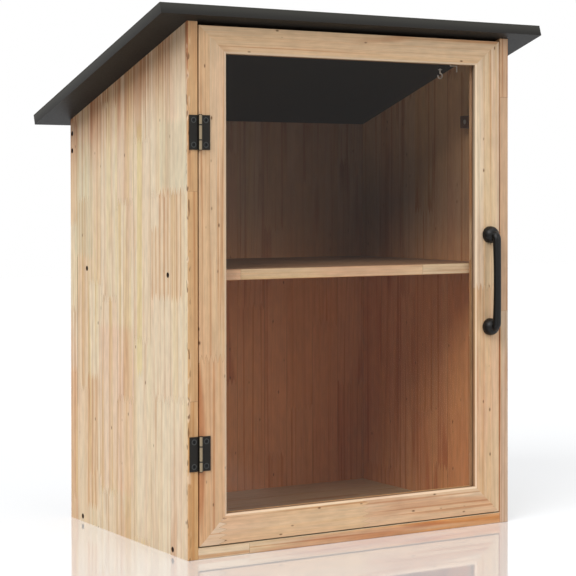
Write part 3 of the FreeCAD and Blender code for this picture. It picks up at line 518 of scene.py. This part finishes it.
def uneven_planing(board, colour):
    """A few per cent lighter and darker along the fibres and in small patches."""
    for pattern, low, high in ((board.fibre, 0.9, 1.07), (board.mottle, 0.91, 1.07)):
        shade = add(board.tree, "ShaderNodeMapRange", {"Value": pattern, "From Min": 0.3, "From Max": 0.7,
                                                       "To Min": low, "To Max": high})
        colour = add(board.tree, "ShaderNodeVectorMath", [colour, shade], operation="MULTIPLY")
    return colour


def nicked_corner(board, colour):
    """Bruises along the front left corner of the box, where it gets knocked."""
    tree = board.tree
    corner = 1.0
    for axis, edge in (("X", -HALF_WIDTH), ("Y", -HALF_DEPTH)):
        close = above(tree, board.axes.outputs[axis], edge + NICK_REACH, edge + NICK_FULL)
        corner = both(tree, close, corner)
    for fineness, level, hex_code, share in NICKS:
        stretch = (fineness, fineness, 0.3 * fineness)
        bruise = stretched_noise(tree, board.own_place, stretch, 1.0)
        nick = both(tree, above(tree, bruise, level, level + 0.08), corner)
        colour = tint(tree, colour, shares(tree, nick, 0.0, share), hex_code)
    return colour


def arris_highlight_and_sight_shade(board, colour, sight):
    """A painted highlight on the arris of the door frame, and painted shade on its side towards the pane,
    which deepens inwards.
    """
    tree = board.tree
    lit_arris = add(tree, MATH, [board.normals.outputs["Y"], ARRIS_HIGHLIGHT_FACING, 0.03], operation="COMPARE")
    colour = tint(tree, colour, shares(tree, lit_arris, 0.0, ARRIS_HIGHLIGHT_SHARE), PALE_NICK_AND_ARRIS_HIGHLIGHT)
    shade_inward = add(tree, "ShaderNodeMapRange", {"Value": board.axes.outputs["Y"], "From Min": DOOR_FRONT,
                                              "From Max": PANE_FRONT})
    return tint(tree, colour, both(tree, facing(tree, board.normals, sight), shade_inward), SIGHT_SHADE)


# %% The pine material
def pine(title, grain, across, seed, tone=0.4, spread=0.25, pink=0.6, straw=0.4, glue_lines=(),
         length=0.4, ring_width=4.0 * MM, ring_depth=0.4, pitch=0.5, flecks=0.15, coats_shade_and_light=None,
         lengths=(), heart=None, lines=0.55, eave_stain_and_shade_side=None, nicked=False, sight=None):
    """Planed, thinly oiled pine. The grain runs along one axis and the staves lie along another."""
    material, tree = new_material(title)
    board = read_board(tree, grain, across, glue_lines, length, seed)
    colour = tone_of_length(board, tone, spread, pink, straw)
    colour = known_lengths(board, colour, lengths)
    if heart:
        colour = heartwood(board, colour, *heart)
    for side, coats in (coats_shade_and_light or {}).items():
        colour = side_coat_shade_and_light(board, colour, side, *coats)

    rings = growth_rings(tree, board.across, board.depth, board.along, board.chance, ring_width)
    ring_share = shares(tree, board.chance.outputs["Red"], 0.2 * ring_depth, ring_depth)
    summer = both(tree, rings, ring_share)
    colour = grain_lines(board, colour, summer, pitch, lines)
    # Partly stain and partly painted shade under the roof's overhang.
    if eave_stain_and_shade_side:
        colour = eave_stain_and_shade(board, colour, *eave_stain_and_shade_side)
    colour = uneven_planing(board, colour)
    colour = tint(tree, colour, resin_flecks(tree, board.own_place, flecks), PINE_FLECK)
    patchy = both(tree, board.glue, above(tree, board.cloud, 0.3, 0.6))
    colour = tint(tree, colour, patchy, PINE_GLUE)
    if nicked:
        colour = nicked_corner(board, colour)
    # Painted highlight on the arris, and painted shade on the side towards the pane.
    if sight:
        colour = arris_highlight_and_sight_shade(board, colour, sight)

    # Matt, with fine raised fibres, so that the oil shows as a soft sheen.
    roughness = shares(tree, board.fibre, 0.45, 0.65)
    height = add(tree, MATH, [board.fibre, 0.5, summer], operation="MULTIPLY_ADD")
    height = add(tree, MATH, [height, patchy], operation="SUBTRACT")
    bump = add(tree, "ShaderNodeBump", {"Height": height, "Strength": 0.3, "Distance": 0.15 * MM})
    shader = add(tree, "ShaderNodeBsdfPrincipled", {"Base Color": colour, "Roughness": roughness,
                                                    "IOR": 1.45, "Normal": bump})
    add(tree, "ShaderNodeOutputMaterial", {"Surface": shader})
    return material


# %% [markdown]
# ## Pine, part four: every board
#
# The glue lines of the left wall lie where they can be measured, and those of the other boards
# follow from the widths that such staves have. The inside of the box has had a second, redder coat,
# with painted shade in the upper compartment. High on the right wall painted light makes it lighter
# again, and paler grey painted light lies on the top of the bottom board.

# %% Glue lines
LEFT_WALL_LINES = [place * MM for place in (-113.0, -65.0, -21.4, 22.4, 66.6, 100.6, 134.3)]


def stave_lines(low, high, seed):
    """Places across a board where its staves meet, from staves of 28 to 48 mm."""
    chance = random.Random(seed)
    lines, place = [], low + chance.uniform(15, 40) * MM
    while place < high:
        lines.append(place)
        place += chance.uniform(28, 48) * MM
    return lines


# %% The boards and the door frame
INSIDE_COAT = "#c57f45"
BRIGHT_COAT = "#d08544"
# Painted shade in the upper compartment, and painted light high on the right wall.
UPPER_PAINTED_SHADE = "#6e4528"
TOP_PAINTED_LIGHT = "#d09f6c"
SAWN_EDGE = "#c28a46"
SHADED_EDGE = "#a8785c"
# Painted light on the top of the bottom board, paler and greyer.
FLOOR_PAINTED_LIGHT = "#bcb297"

# Lengths of the left wall with a look of their own: low and high edge, bottom and top, all in mm,
# then the colour, its share, and the share of the dark stripes.
LEFT_WALL_LENGTHS = [
    (-142, -86, 290, 409, PINE_WARM, 0.18, 0.6),
    (-86, -67, 290, 367, PINE_WARM, 0.18, 0.6),
    (-43, -30, 200, 487, PINE_STRAW, 0.6, 0.0),
    (90, 142, 330, 470, PINE_GREY, 0.45, 0.0),
    (-153, -88, 412, 487, PINE_GREY, 0.4, 0.0),
    (-20, 72, 56, 250, PINE_PINK, 0.25, 0.0),
    (75, 106, 28, 186, PINE_WARM, 0.3, 0.5),
    (134, 155, 370, 600, PINE_WARM, 0.3, 0.0),
    (134, 155, -10, 190, PINE_WARM, 0.35, 0.0),
    (133.6, 135.2, 149, 333, PINE_GLUE, 0.75, 0.0),
]

BOARDS = {
    "left_side_panel": dict(grain="Z", across="Y", seed=3, tone=0.1, spread=0.2, pink=0.4, straw=0.55,
                            length=0.23, glue_lines=LEFT_WALL_LINES, ring_width=9 * MM, ring_depth=0.5,
                            lengths=LEFT_WALL_LENGTHS, pitch=0.3, lines=0.4, flecks=0.06,
                            # Brown band under the roof: partly stain, partly painted shade.
                            eave_stain_and_shade_side=("-X", 0.85), nicked=True,
                            # The inside coat turns to painted shade higher up.
                            coats_shade_and_light={"+X": (INSIDE_COAT, 0.7, UPPER_PAINTED_SHADE), "-Y": (SAWN_EDGE, 0.7)}),
    "right_side_panel": dict(grain="Z", across="Y", seed=11, tone=0.2, length=0.26, ring_width=8 * MM,
                             # Brown band under the roof: partly stain, partly painted shade.
                             glue_lines=stave_lines(-HALF_DEPTH, HALF_DEPTH, 1), eave_stain_and_shade_side=("+X", 0.8),
                             # The inside coat turns to painted shade, then to painted light higher up.
                             coats_shade_and_light={"-X": (BRIGHT_COAT, 0.72, UPPER_PAINTED_SHADE, TOP_PAINTED_LIGHT),
                                     "-Y": (SHADED_EDGE, 0.4)}),
    "back_panel": dict(grain="Z", across="X", seed=23, tone=0.3, length=0.3, ring_width=7 * MM,
                       glue_lines=stave_lines(-HALF_WIDTH, HALF_WIDTH, 2),
                       # The inside coat turns to painted shade higher up.
                       coats_shade_and_light={"-Y": (INSIDE_COAT, 0.82, UPPER_PAINTED_SHADE)}),
    "shelf": dict(grain="X", across="Y", seed=31, tone=0.2, length=0.25,
                  glue_lines=stave_lines(-HALF_DEPTH, HALF_DEPTH, 3),
                  # Painted shade on the shelf's top.
                  coats_shade_and_light={"+Z": (UPPER_PAINTED_SHADE, 0.82), "-Z": (INSIDE_COAT, 0.7)}),
    "bottom_panel": dict(grain="X", across="Y", seed=43, tone=0.1, length=2.5, pitch=0.5,
                         glue_lines=stave_lines(-HALF_DEPTH + 20 * MM, HALF_DEPTH, 4),
                         heart=(-130 * MM, 130 * MM),
                         # Painted light on the top of the board, inside the box.
                         coats_shade_and_light={"-Y": (PINE_WARM, 0.2), "+Z": (FLOOR_PAINTED_LIGHT, 0.7)}),
    "pane_bead_left": dict(grain="Z", across="X", seed=50, tone=0.5),
    # Painted shade on the right bead's side that faces into the opening.
    "pane_bead_right": dict(grain="Z", across="X", seed=51, tone=0.5, pink=0.9,
                            coats_shade_and_light={"-X": (UPPER_PAINTED_SHADE, 0.35)}),
    "pane_bead_top": dict(grain="X", across="Z", seed=52, tone=0.5),
    "pane_bead_bottom": dict(grain="X", across="Z", seed=53, tone=0.5),
}
FRAME_LOOK = dict(pink=0.7, straw=0.1, ring_width=11 * MM, ring_depth=0.3, pitch=0.6, flecks=0.3)
BOARDS |= {
    "hinge_stile": dict(FRAME_LOOK, grain="Z", across="X", seed=5, tone=0.68, length=0.9, sight="+X",
                        lengths=[(-207, -193, -10, 600, PINE_WARM, 0.3, 0.0)]),
    "latch_stile": dict(FRAME_LOOK, grain="Z", across="X", seed=8, tone=0.32, length=0.31, sight="-X",
                        pink=0.4, straw=0.4, ring_width=6 * MM, pitch=0.3, lines=0.35),
    "door_top_rail": dict(FRAME_LOOK, grain="X", across="Z", seed=14, tone=0.62, length=0.9, sight="-Z"),
    "door_bottom_rail": dict(FRAME_LOOK, grain="X", across="Z", seed=17, tone=0.3, length=0.19,
                             sight="+Z", pitch=0.3),
}
for name, look in BOARDS.items():
    finish_solid(name, pine("oiled pine, " + name.replace("_", " "), **look))
print("pine finishes:", len(BOARDS), "- glue lines in the back:", len(BOARDS["back_panel"]["glue_lines"]))

# %% [markdown]
# ## The pane
#
# The door is glazed with clear cast acrylic, 3 mm thick. So thin a sheet bends what is behind it by
# less than it takes to see, so it is shown as a see-through film, tinted as deep as the sheet is,
# with a faint mirror on its front that grows towards the edge of sight, as Fresnel's law says.

# %% Clear acrylic
ACRYLIC_IOR = 1.49
ACRYLIC_TINT = "#fbf9f6"
MIRROR_SHARE = 0.4

acrylic, tree = new_material("clear cast acrylic")
film = add(tree, "ShaderNodeBsdfTransparent", {"Color": linear(ACRYLIC_TINT)})
mirror = add(tree, "ShaderNodeBsdfAnisotropic", {"Color": linear("#ffffff"), "Roughness": 0.02})
fresnel = add(tree, "ShaderNodeFresnel", {"IOR": ACRYLIC_IOR})
share = add(tree, MATH, [fresnel, MIRROR_SHARE], operation="MULTIPLY")
outside = add(tree, "ShaderNodeNewGeometry")
front = add(tree, MATH, [1.0, outside.outputs["Backfacing"]], operation="SUBTRACT")
share = add(tree, MATH, [share, front], operation="MULTIPLY")
pane_shader = add(tree, "ShaderNodeMixShader", [share, film, mirror])
add(tree, "ShaderNodeOutputMaterial", {"Surface": pane_shader})
finish_solid("door_pane", acrylic)

# %% [markdown]
# ## Roof, ironmongery and small metal
#
# The roof board is painted a warm charcoal, with painted light towards the top of its edge and
# almost black underneath, and it is covered with a thin mineral felt. The hinges and the handle are
# steel and iron under a satin black coat. The knuckles carry a painted bronze highlight, and the
# hinge screws painted grey rings of highlight. Hooks, catch and pins are plated steel.

# %% Painted and plated finishes
def coated(title, hex_code, roughness, metallic=0.0, gloss=0.5, grit=0.6 * MM, relief=0.05 * MM,
           spread=0.15, painted_light_and_shade=()):
    """A coat of one colour over a slightly uneven ground, with painted light and shade in other colours
    by patterns.
    """
    material, tree = new_material(title)
    place = add(tree, "ShaderNodeTexCoord")
    noise = add(tree, "ShaderNodeTexNoise", {"Vector": place.outputs["Object"], "Scale": 1 / grit,
                                             "Detail": 3.0})
    colour = linear(hex_code)
    for pattern, painted_hex in painted_light_and_shade:
        colour = tint(tree, colour, pattern(tree, place), painted_hex)
    uneven = shares(tree, noise.outputs[0], 1 - spread, 1 + spread)
    colour = add(tree, "ShaderNodeMix", {"Factor": 1.0, "A": colour, "B": uneven}, data_type="RGBA",
                 blend_type="MULTIPLY")
    rough = shares(tree, noise.outputs[0], roughness - 0.08, roughness + 0.08)
    bump = add(tree, "ShaderNodeBump", {"Height": noise.outputs[0], "Strength": 0.5, "Distance": relief})
    settings = {"Base Color": colour, "Roughness": rough, "Metallic": metallic, "Normal": bump}
    if not metallic:
        settings["Specular IOR Level"] = gloss
    shader = add(tree, "ShaderNodeBsdfPrincipled", settings)
    add(tree, "ShaderNodeOutputMaterial", {"Surface": shader})
    return material


# %% Where light and shade are painted on a coat
ROOF_THICKNESS = 11 * MM
HINGE_CENTRES = (468.2 * MM, 116.1 * MM)
BARREL_AXIS = Vector((-206.4, -157.2, 0)) * MM
BARREL_RADIUS = 2.4 * MM
# The side of the barrel that carries the painted highlight.
HIGHLIGHT_TURN = math.radians(25)
HIGHLIGHT_SIDE = Vector((-math.sin(HIGHLIGHT_TURN), -math.cos(HIGHLIGHT_TURN), 0))
SCREW_ACROSS, SCREW_UP = 7.65 * MM, 13.5 * MM
# Radius and half width of the painted highlight ring round each hinge screw.
HIGHLIGHT_RING_RADIUS, HIGHLIGHT_RING_HALF = 2.6 * MM, 0.5 * MM
KNUCKLE_JOINTS, KNUCKLE_GAP_HALF = (-8.3 * MM, 8.3 * MM), 0.7 * MM
# Shares of the radius where the painted highlight on the barrel starts and is full.
HIGHLIGHT_START, HIGHLIGHT_FULL = 0.66, 0.85


def roof_edge_painted_light(tree, place):
    """Painted light on the roof board: 0 on its underside, rising through the thickness of the board to 1
    at its top.
    """
    axes = add(tree, "ShaderNodeSeparateXYZ", [place.outputs["Object"]])
    height = over_roof_line(tree, axes)
    return above(tree, height, 0.5 * MM, ROOF_THICKNESS / math.cos(ROOF_SLOPE))


def barrel_painted_highlight(tree, place):
    """1 along the painted highlight on the lit side of a hinge barrel, except where its knuckles meet."""
    axes = add(tree, "ShaderNodeSeparateXYZ", [place.outputs["Object"]])
    reach = add(tree, "ShaderNodeVectorMath", [place.outputs["Object"], HIGHLIGHT_SIDE],
                operation="DOT_PRODUCT")
    middle = BARREL_AXIS.dot(HIGHLIGHT_SIDE)
    barrel_highlight = above(tree, reach, middle + HIGHLIGHT_START * BARREL_RADIUS, middle + HIGHLIGHT_FULL * BARREL_RADIUS)
    axis = BARREL_AXIS.x
    barrel = between(tree, axes.outputs["X"], axis - BARREL_RADIUS, axis + BARREL_RADIUS)
    barrel_highlight = both(tree, barrel_highlight, barrel)
    for centre in HINGE_CENTRES:
        for joint in KNUCKLE_JOINTS:
            knuckle_gap = add(tree, MATH, [axes.outputs["Z"], centre + joint, KNUCKLE_GAP_HALF],
                         operation="COMPARE")
            barrel_highlight = add(tree, MATH, [barrel_highlight, knuckle_gap], operation="SUBTRACT")
    return barrel_highlight


def screw_ring_highlights(tree, place):
    """1 in a ring of painted highlight round every screw of the two hinges."""
    axes = add(tree, "ShaderNodeSeparateXYZ", [place.outputs["Object"]])
    ring_highlights = 0.0
    for centre in HINGE_CENTRES:
        offsets = []
        for axis, middle, spacing in (("X", BARREL_AXIS.x, SCREW_ACROSS), ("Z", centre, SCREW_UP)):
            offset = add(tree, MATH, [axes.outputs[axis], middle], operation="SUBTRACT")
            offset = add(tree, MATH, [offset], operation="ABSOLUTE")
            offsets.append(add(tree, MATH, [offset, spacing], operation="SUBTRACT"))
        away = add(tree, "ShaderNodeCombineXYZ", {"X": offsets[0], "Y": offsets[1]})
        away = add(tree, "ShaderNodeVectorMath", [away], operation="LENGTH")
        ring = add(tree, MATH, [away, HIGHLIGHT_RING_RADIUS, HIGHLIGHT_RING_HALF], operation="COMPARE")
        ring_highlights = add(tree, MATH, [ring, ring_highlights], operation="MAXIMUM")
    return ring_highlights


# %% The finishes and what carries them
# A warm near-black without gloss, with painted light that greys it towards the top of its edge.
charcoal = coated("charcoal roof paint", "#171512", 0.5, gloss=0.2, grit=2.5 * MM, relief=0.15 * MM,
                  painted_light_and_shade=[(roof_edge_painted_light, "#31302c")])
# Coarse grey grit, so the roof's top is matt from every side.
felt = coated("mineral roofing felt", "#373631", 0.85, gloss=0.3, grit=1.2 * MM, relief=0.5 * MM,
              spread=0.35)
# A thin satin coat, with a soft broad highlight.
black_steel = coated("satin black steel", "#15120d", 0.4, gloss=0.2)
# The same coat with a painted bronze highlight along the barrel and painted grey highlight rings round
# the screws, so that the leaf reads as steel.
highlighted_hinge_steel = coated("black steel with painted highlights", "#15120d", 0.4, gloss=0.2,
                     painted_light_and_shade=[(barrel_painted_highlight, "#94846b"), (screw_ring_highlights, "#454746")])
# Darker than the leaf, so that each head stands out from it.
black_screw = coated("blacked steel screw", "#090807", 0.45, gloss=0.25)
# The skin of a casting, coarse enough to break the highlight up.
black_iron = coated("black cast iron", "#0b0a09", 0.42, gloss=0.22, grit=1.5 * MM, relief=0.12 * MM)
# Nearly white, a painted glint, so the thin hooks show against the dark roof.
glinting_wire = coated("plated wire with painted glint", "#f6f4ee", 0.35, metallic=0.3)
# A pale cool metal with a dull reflection.
zinc = coated("zinc plate", "#b9b7b1", 0.4, metallic=0.7)
# Painted shade of the recessed heads, brown-black, which makes them small dark dots in the pale wood.
shaded_zinc = coated("zinc plate with painted shade", "#22150b", 0.6, gloss=0.15)
# An even brown close to the wood, so that the catch doesn't draw the eye.
brown_plastic = coated("brown moulded plastic", "#4a3122", 0.45)
# Dull dark grey, between metal and stone.
magnet = coated("sintered magnet", "#3a3a3c", 0.5, metallic=0.7)
# A plain pale hardwood for the dowels in the mitres.
beech = coated("beech dowel", "#c9a57c", 0.6)

FINISHES = {
    charcoal: ["roof_board"],
    felt: ["roof_felt"],
    highlighted_hinge_steel: ["upper_hinge_frame_leaf", "lower_hinge_frame_leaf", "upper_hinge_door_leaf",
                  "lower_hinge_door_leaf"],
    black_steel: ["upper_hinge_pin", "lower_hinge_pin"],
    black_iron: ["door_handle"],
    glinting_wire: ["cup_hook", "square_hook"],
    zinc: ["catch_plates", "catch_screws", "strike_plate", "strike_screws", "bead_pins"],
    brown_plastic: ["catch_case"],
    magnet: ["catch_magnet"],
    beech: ["corner_dowels"],
}
for material, names in FINISHES.items():
    for name in names:
        finish_solid(name, material)
print("finishes:", [material.name for material in FINISHES])

# %% [markdown]
# ## The screws
#
# Nearly every screw in the box is the same thing at another size: a head with a cross recess, a
# shank, a point and a thread. One Geometry Nodes tree makes it once from named sizes, cuts the
# recess, and puts a copy on every point of a small mesh. Each point carries the direction that its
# head faces, and each copy is turned by its own amount about that direction, as driven screws are.

# %% The screw tree
# Sizes of the plain wood screw in mm. Head Sink is how far the head lies under the surface.
SCREW_SIZES = {"Head Top Radius": 3.2, "Head Bottom Radius": 1.7, "Head Height": 2.6, "Head Sink": 2.6,
               "Dome": 0.0, "Recess Width": 0.9, "Recess Reach": 1.9, "Recess Depth": 1.2,
               "Shank Radius": 1.7, "Length": 35.0, "Thread Pitch": 2.4}
SEED = 7
# The shank's core, ridge and point in radii, and the share of its body that has a thread.
CORE_SHARE, RIDGE_SHARE, POINT_RADII, THREADED_SHARE = 0.72, 0.27, 3.0, 0.7


def moved(tree, geometry, height):
    """The geometry, lifted along the screw's axis."""
    lift = add(tree, "ShaderNodeCombineXYZ", {"Z": height})
    return add(tree, "GeometryNodeTransform", {"Geometry": geometry, "Translation": lift})


def joined(tree, *parts):
    """Several geometries as one."""
    join = add(tree, "GeometryNodeJoinGeometry")
    for part in parts:
        tree.links.new(part.outputs[0], join.inputs[0])
    return join


def screw_head(tree, size):
    """A cone between the two radii, domed on top, with a cross cut into it."""
    cone = add(tree, "GeometryNodeMeshCone", {"Vertices": 32, "Side Segments": 2, "Fill Segments": 5,
                                              "Radius Top": size["Head Top Radius"],
                                              "Radius Bottom": size["Head Bottom Radius"],
                                              "Depth": size["Head Height"]}, fill_type="TRIANGLE_FAN")
    place = add(tree, "GeometryNodeInputPosition")
    axes = add(tree, "ShaderNodeSeparateXYZ", [place])
    flat = add(tree, "ShaderNodeCombineXYZ", {"X": axes.outputs["X"], "Y": axes.outputs["Y"]})
    out = add(tree, "ShaderNodeVectorMath", [flat], operation="LENGTH")
    share = add(tree, MATH, [out.outputs["Value"], size["Head Top Radius"]], operation="DIVIDE")
    square = add(tree, MATH, [share, share], operation="MULTIPLY")
    fall = add(tree, MATH, [1.0, square], operation="SUBTRACT")
    fall = add(tree, MATH, [fall, 0.0], operation="MAXIMUM")
    bulge = add(tree, MATH, [fall, size["Dome"]], operation="MULTIPLY")
    lift = add(tree, "ShaderNodeCombineXYZ", {"Z": bulge})
    domed = add(tree, "GeometryNodeSetPosition", {"Geometry": cone, "Selection": cone.outputs["Top"],
                                                  "Offset": lift})
    bars = []
    reach = add(tree, MATH, [size["Recess Reach"], 2.0], operation="MULTIPLY")
    tall = add(tree, MATH, [size["Recess Depth"], 2.0], operation="MULTIPLY")
    for x, y in ((size["Recess Width"], reach), (reach, size["Recess Width"])):
        extent = add(tree, "ShaderNodeCombineXYZ", {"X": x, "Y": y, "Z": tall})
        bar = add(tree, "GeometryNodeMeshCube", {"Size": extent})
        top = add(tree, MATH, [size["Head Height"], size["Dome"]], operation="ADD")
        bars.append(moved(tree, bar, top))
    cut = add(tree, "GeometryNodeMeshBoolean", {"Mesh 1": domed}, operation="DIFFERENCE",
              solver="EXACT")
    cutters = next(socket for socket in cut.inputs if socket.name == "Mesh 2")
    for bar in bars:
        tree.links.new(bar.outputs[0], cutters)
    sink = add(tree, MATH, [size["Head Sink"], -1.0], operation="MULTIPLY")
    return moved(tree, cut, sink)


def screw_shank(tree, size):
    """A core that ends in a point, with a thread wound round it."""
    core = add(tree, MATH, [size["Shank Radius"], CORE_SHARE], operation="MULTIPLY")
    point = add(tree, MATH, [size["Shank Radius"], POINT_RADII], operation="MULTIPLY")
    ends = add(tree, MATH, [point, size["Head Sink"]], operation="ADD")
    body = add(tree, MATH, [size["Length"], ends], operation="SUBTRACT")
    rod = add(tree, "GeometryNodeMeshCone", {"Vertices": 16, "Radius Top": core, "Radius Bottom": core,
                                             "Depth": body})
    tip = add(tree, "GeometryNodeMeshCone", {"Vertices": 16, "Radius Top": core, "Radius Bottom": 0.0,
                                             "Depth": point})
    wound = add(tree, MATH, [body, THREADED_SHARE], operation="MULTIPLY")
    turns = add(tree, MATH, [wound, size["Thread Pitch"]], operation="DIVIDE")
    helix = add(tree, "GeometryNodeCurveSpiral", {"Resolution": 12, "Height": wound, "Rotations": turns,
                                                  "Start Radius": core, "End Radius": core})
    ridge = add(tree, MATH, [size["Shank Radius"], RIDGE_SHARE], operation="MULTIPLY")
    ridge = add(tree, "GeometryNodeCurvePrimitiveCircle", {"Resolution": 4, "Radius": ridge})
    thread = add(tree, "GeometryNodeCurveToMesh", {"Curve": helix, "Profile Curve": ridge.outputs[0],
                                                   "Fill Caps": True})
    bottom = add(tree, MATH, [size["Length"], -1.0], operation="MULTIPLY")
    foot = add(tree, MATH, [bottom, point], operation="ADD")
    return joined(tree, moved(tree, rod, foot), moved(tree, tip, bottom), moved(tree, thread, foot))


def build_screw_tree():
    """Screws on the points of a mesh, as one realised mesh with one material."""
    tree = bpy.data.node_groups.new("driven screws", "GeometryNodeTree")
    sockets = tree.interface
    sockets.new_socket("Points", in_out="INPUT", socket_type="NodeSocketGeometry")
    for name, value in SCREW_SIZES.items():
        sockets.new_socket(name, in_out="INPUT", socket_type="NodeSocketFloat").default_value = value * MM
    sockets.new_socket("Material", in_out="INPUT", socket_type="NodeSocketMaterial")
    sockets.new_socket("Screws", in_out="OUTPUT", socket_type="NodeSocketGeometry")
    given = add(tree, "NodeGroupInput")
    size = {name: given.outputs[name] for name in SCREW_SIZES}
    screw = joined(tree, screw_head(tree, size), screw_shank(tree, size))
    outward = add(tree, "GeometryNodeInputNamedAttribute", {"Name": "outward"},
                  data_type="FLOAT_VECTOR")
    aimed = add(tree, "FunctionNodeAlignRotationToVector", {"Vector": outward}, axis="Z")
    driven = add(tree, "FunctionNodeRandomValue", {"Max": math.tau, "Seed": SEED}, data_type="FLOAT")
    twist = add(tree, "FunctionNodeAxisAngleToRotation", {"Axis": (0, 0, 1), "Angle": driven})
    turned = add(tree, "FunctionNodeRotateRotation", {"Rotation": aimed, "Rotate By": twist},
                 rotation_space="LOCAL")
    placed = add(tree, "GeometryNodeInstanceOnPoints", {"Points": given.outputs["Points"],
                                                        "Instance": screw, "Rotation": turned})
    real = add(tree, "GeometryNodeRealizeInstances", {"Geometry": placed})
    finished = add(tree, "GeometryNodeSetMaterial", {"Geometry": real,
                                                     "Material": given.outputs["Material"]})
    add(tree, "NodeGroupOutput", {"Screws": finished})
    return tree


screw_tree = build_screw_tree()
print("screw tree:", len(screw_tree.nodes), "nodes")


# %% Driving the screws
def drive_screws(title, spots, material, sizes):
    """Screws at these spots, each a place and the direction its head faces, as one plain mesh."""
    mesh = bpy.data.meshes.new(title)
    mesh.from_pydata([place for place, _ in spots], [], [])
    directions = mesh.attributes.new("outward", "FLOAT_VECTOR", "POINT")
    for element, (_, outward) in zip(directions.data, spots):
        element.vector = outward
    screws = bpy.data.objects.new(title, mesh)
    bpy.context.scene.collection.objects.link(screws)
    modifier = screws.modifiers.new("screws", "NODES")
    modifier.node_group = screw_tree
    settings = {name: value * MM for name, value in {**SCREW_SIZES, **sizes}.items()}
    settings["Material"] = material
    for socket in screw_tree.interface.items_tree:
        if socket.in_out == "INPUT" and socket.name in settings:
            modifier[socket.identifier] = settings[socket.name]
    graph = bpy.context.evaluated_depsgraph_get()
    plain = bpy.data.meshes.new_from_object(screws.evaluated_get(graph), depsgraph=graph)
    screws.modifiers.clear()
    screws.data = plain
    print(title, len(spots), "screws,", len(plain.polygons), "faces")
    return screws


# %% Screws in the boards
HEAD_RECESS = 0.3 * MM
SHELF_MIDDLE, BOTTOM_MIDDLE = 310.65, 6.35
# Depth and height of each screw in a side, then those across the back, in mm.
SIDE_SPOTS = ((-107.0, SHELF_MIDDLE), (107.0, SHELF_MIDDLE), (-117.5, BOTTOM_MIDDLE),
              (120.5, BOTTOM_MIDDLE), (150.0, 475.97), (150.0, 454.67))
BACK_PLACES = (-150, 0, 150)

spots = [((side * (HALF_WIDTH - HEAD_RECESS), y * MM, z * MM), (side, 0, 0))
         for side in (-1, 1) for y, z in SIDE_SPOTS]
spots += [((x * MM, HALF_DEPTH - HEAD_RECESS, z * MM), (0, 1, 0))
          for x in BACK_PLACES for z in (SHELF_MIDDLE, BOTTOM_MIDDLE)]
# The heads carry painted shade for their recesses.
wood_screws = drive_screws("wood_screws", spots, shaded_zinc, {})
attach(wood_screws, "cabinet")
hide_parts("shelf_screws", "bottom_screws", "back_edge_screws", "back_screws")

# %% Screws in the roof
FELT_THICKNESS = 1.6 * MM
ROOF_SKIN = ROOF_THICKNESS + FELT_THICKNESS
ROOF_SCREW_ACROSS = 214.65 * MM
ROOF_SCREW_DISTANCES = (70, 168, 266)
PAN_HEAD = {"Head Top Radius": 2.6, "Head Bottom Radius": 4.2, "Head Height": 2.0, "Head Sink": 0.0,
            "Dome": 0.4}

uphill = Vector((0, math.sin(ROOF_SLOPE), math.cos(ROOF_SLOPE)))
downhill = Vector((0, math.cos(ROOF_SLOPE), -math.sin(ROOF_SLOPE)))
front_corner = Vector((0, *ROOF_FRONT)) + ROOF_SKIN * uphill
spots = [(front_corner + distance * MM * downhill + Vector((side * ROOF_SCREW_ACROSS, 0, 0)), uphill)
         for side in (-1, 1) for distance in ROOF_SCREW_DISTANCES]
roof_screws = drive_screws("roof_pan_screws", spots, black_screw, PAN_HEAD)
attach(roof_screws, "cabinet")
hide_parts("roof_screws")

# %% Screws in the hinges, and the handle's bolts
LEAF_FRONT = -155.7 * MM
DOOR_BACK = -139.5 * MM
HANDLE_ACROSS = 192.3 * MM
HANDLE_BOLT_HEIGHTS = (351.35, 239.85)
SMALL_SCREW = {"Head Top Radius": 2.3, "Head Bottom Radius": 1.1, "Head Height": 1.1, "Head Sink": 1.1,
               "Recess Width": 1.4, "Recess Reach": 1.5, "Recess Depth": 0.9, "Shank Radius": 1.1,
               "Length": 12.0, "Thread Pitch": 1.4}
HANDLE_BOLT = {"Head Top Radius": 2.8, "Head Bottom Radius": 4.0, "Head Height": 1.8, "Head Sink": 0.0,
               "Dome": 0.4, "Shank Radius": 2.0, "Length": 24.0, "Thread Pitch": 0.8}

for title, body, side, replaced in (
        ("hinge_case_screws", "cabinet", -1, "hinge_frame_screws"),
        ("hinge_stile_screws", "door", 1, "hinge_door_screws")):
    across = BARREL_AXIS.x + side * SCREW_ACROSS
    spots = [((across, LEAF_FRONT, centre + up * SCREW_UP), (0, -1, 0))
             for centre in HINGE_CENTRES for up in (-1, 1)]
    screws = drive_screws(title, spots, black_screw, SMALL_SCREW)
    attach(screws, body)
    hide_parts(replaced)

spots = [((HANDLE_ACROSS, DOOR_BACK, z * MM), (0, 1, 0)) for z in HANDLE_BOLT_HEIGHTS]
bolts = drive_screws("handle_bolts", spots, zinc, HANDLE_BOLT)
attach(bolts, "door")
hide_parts("handle_screws")
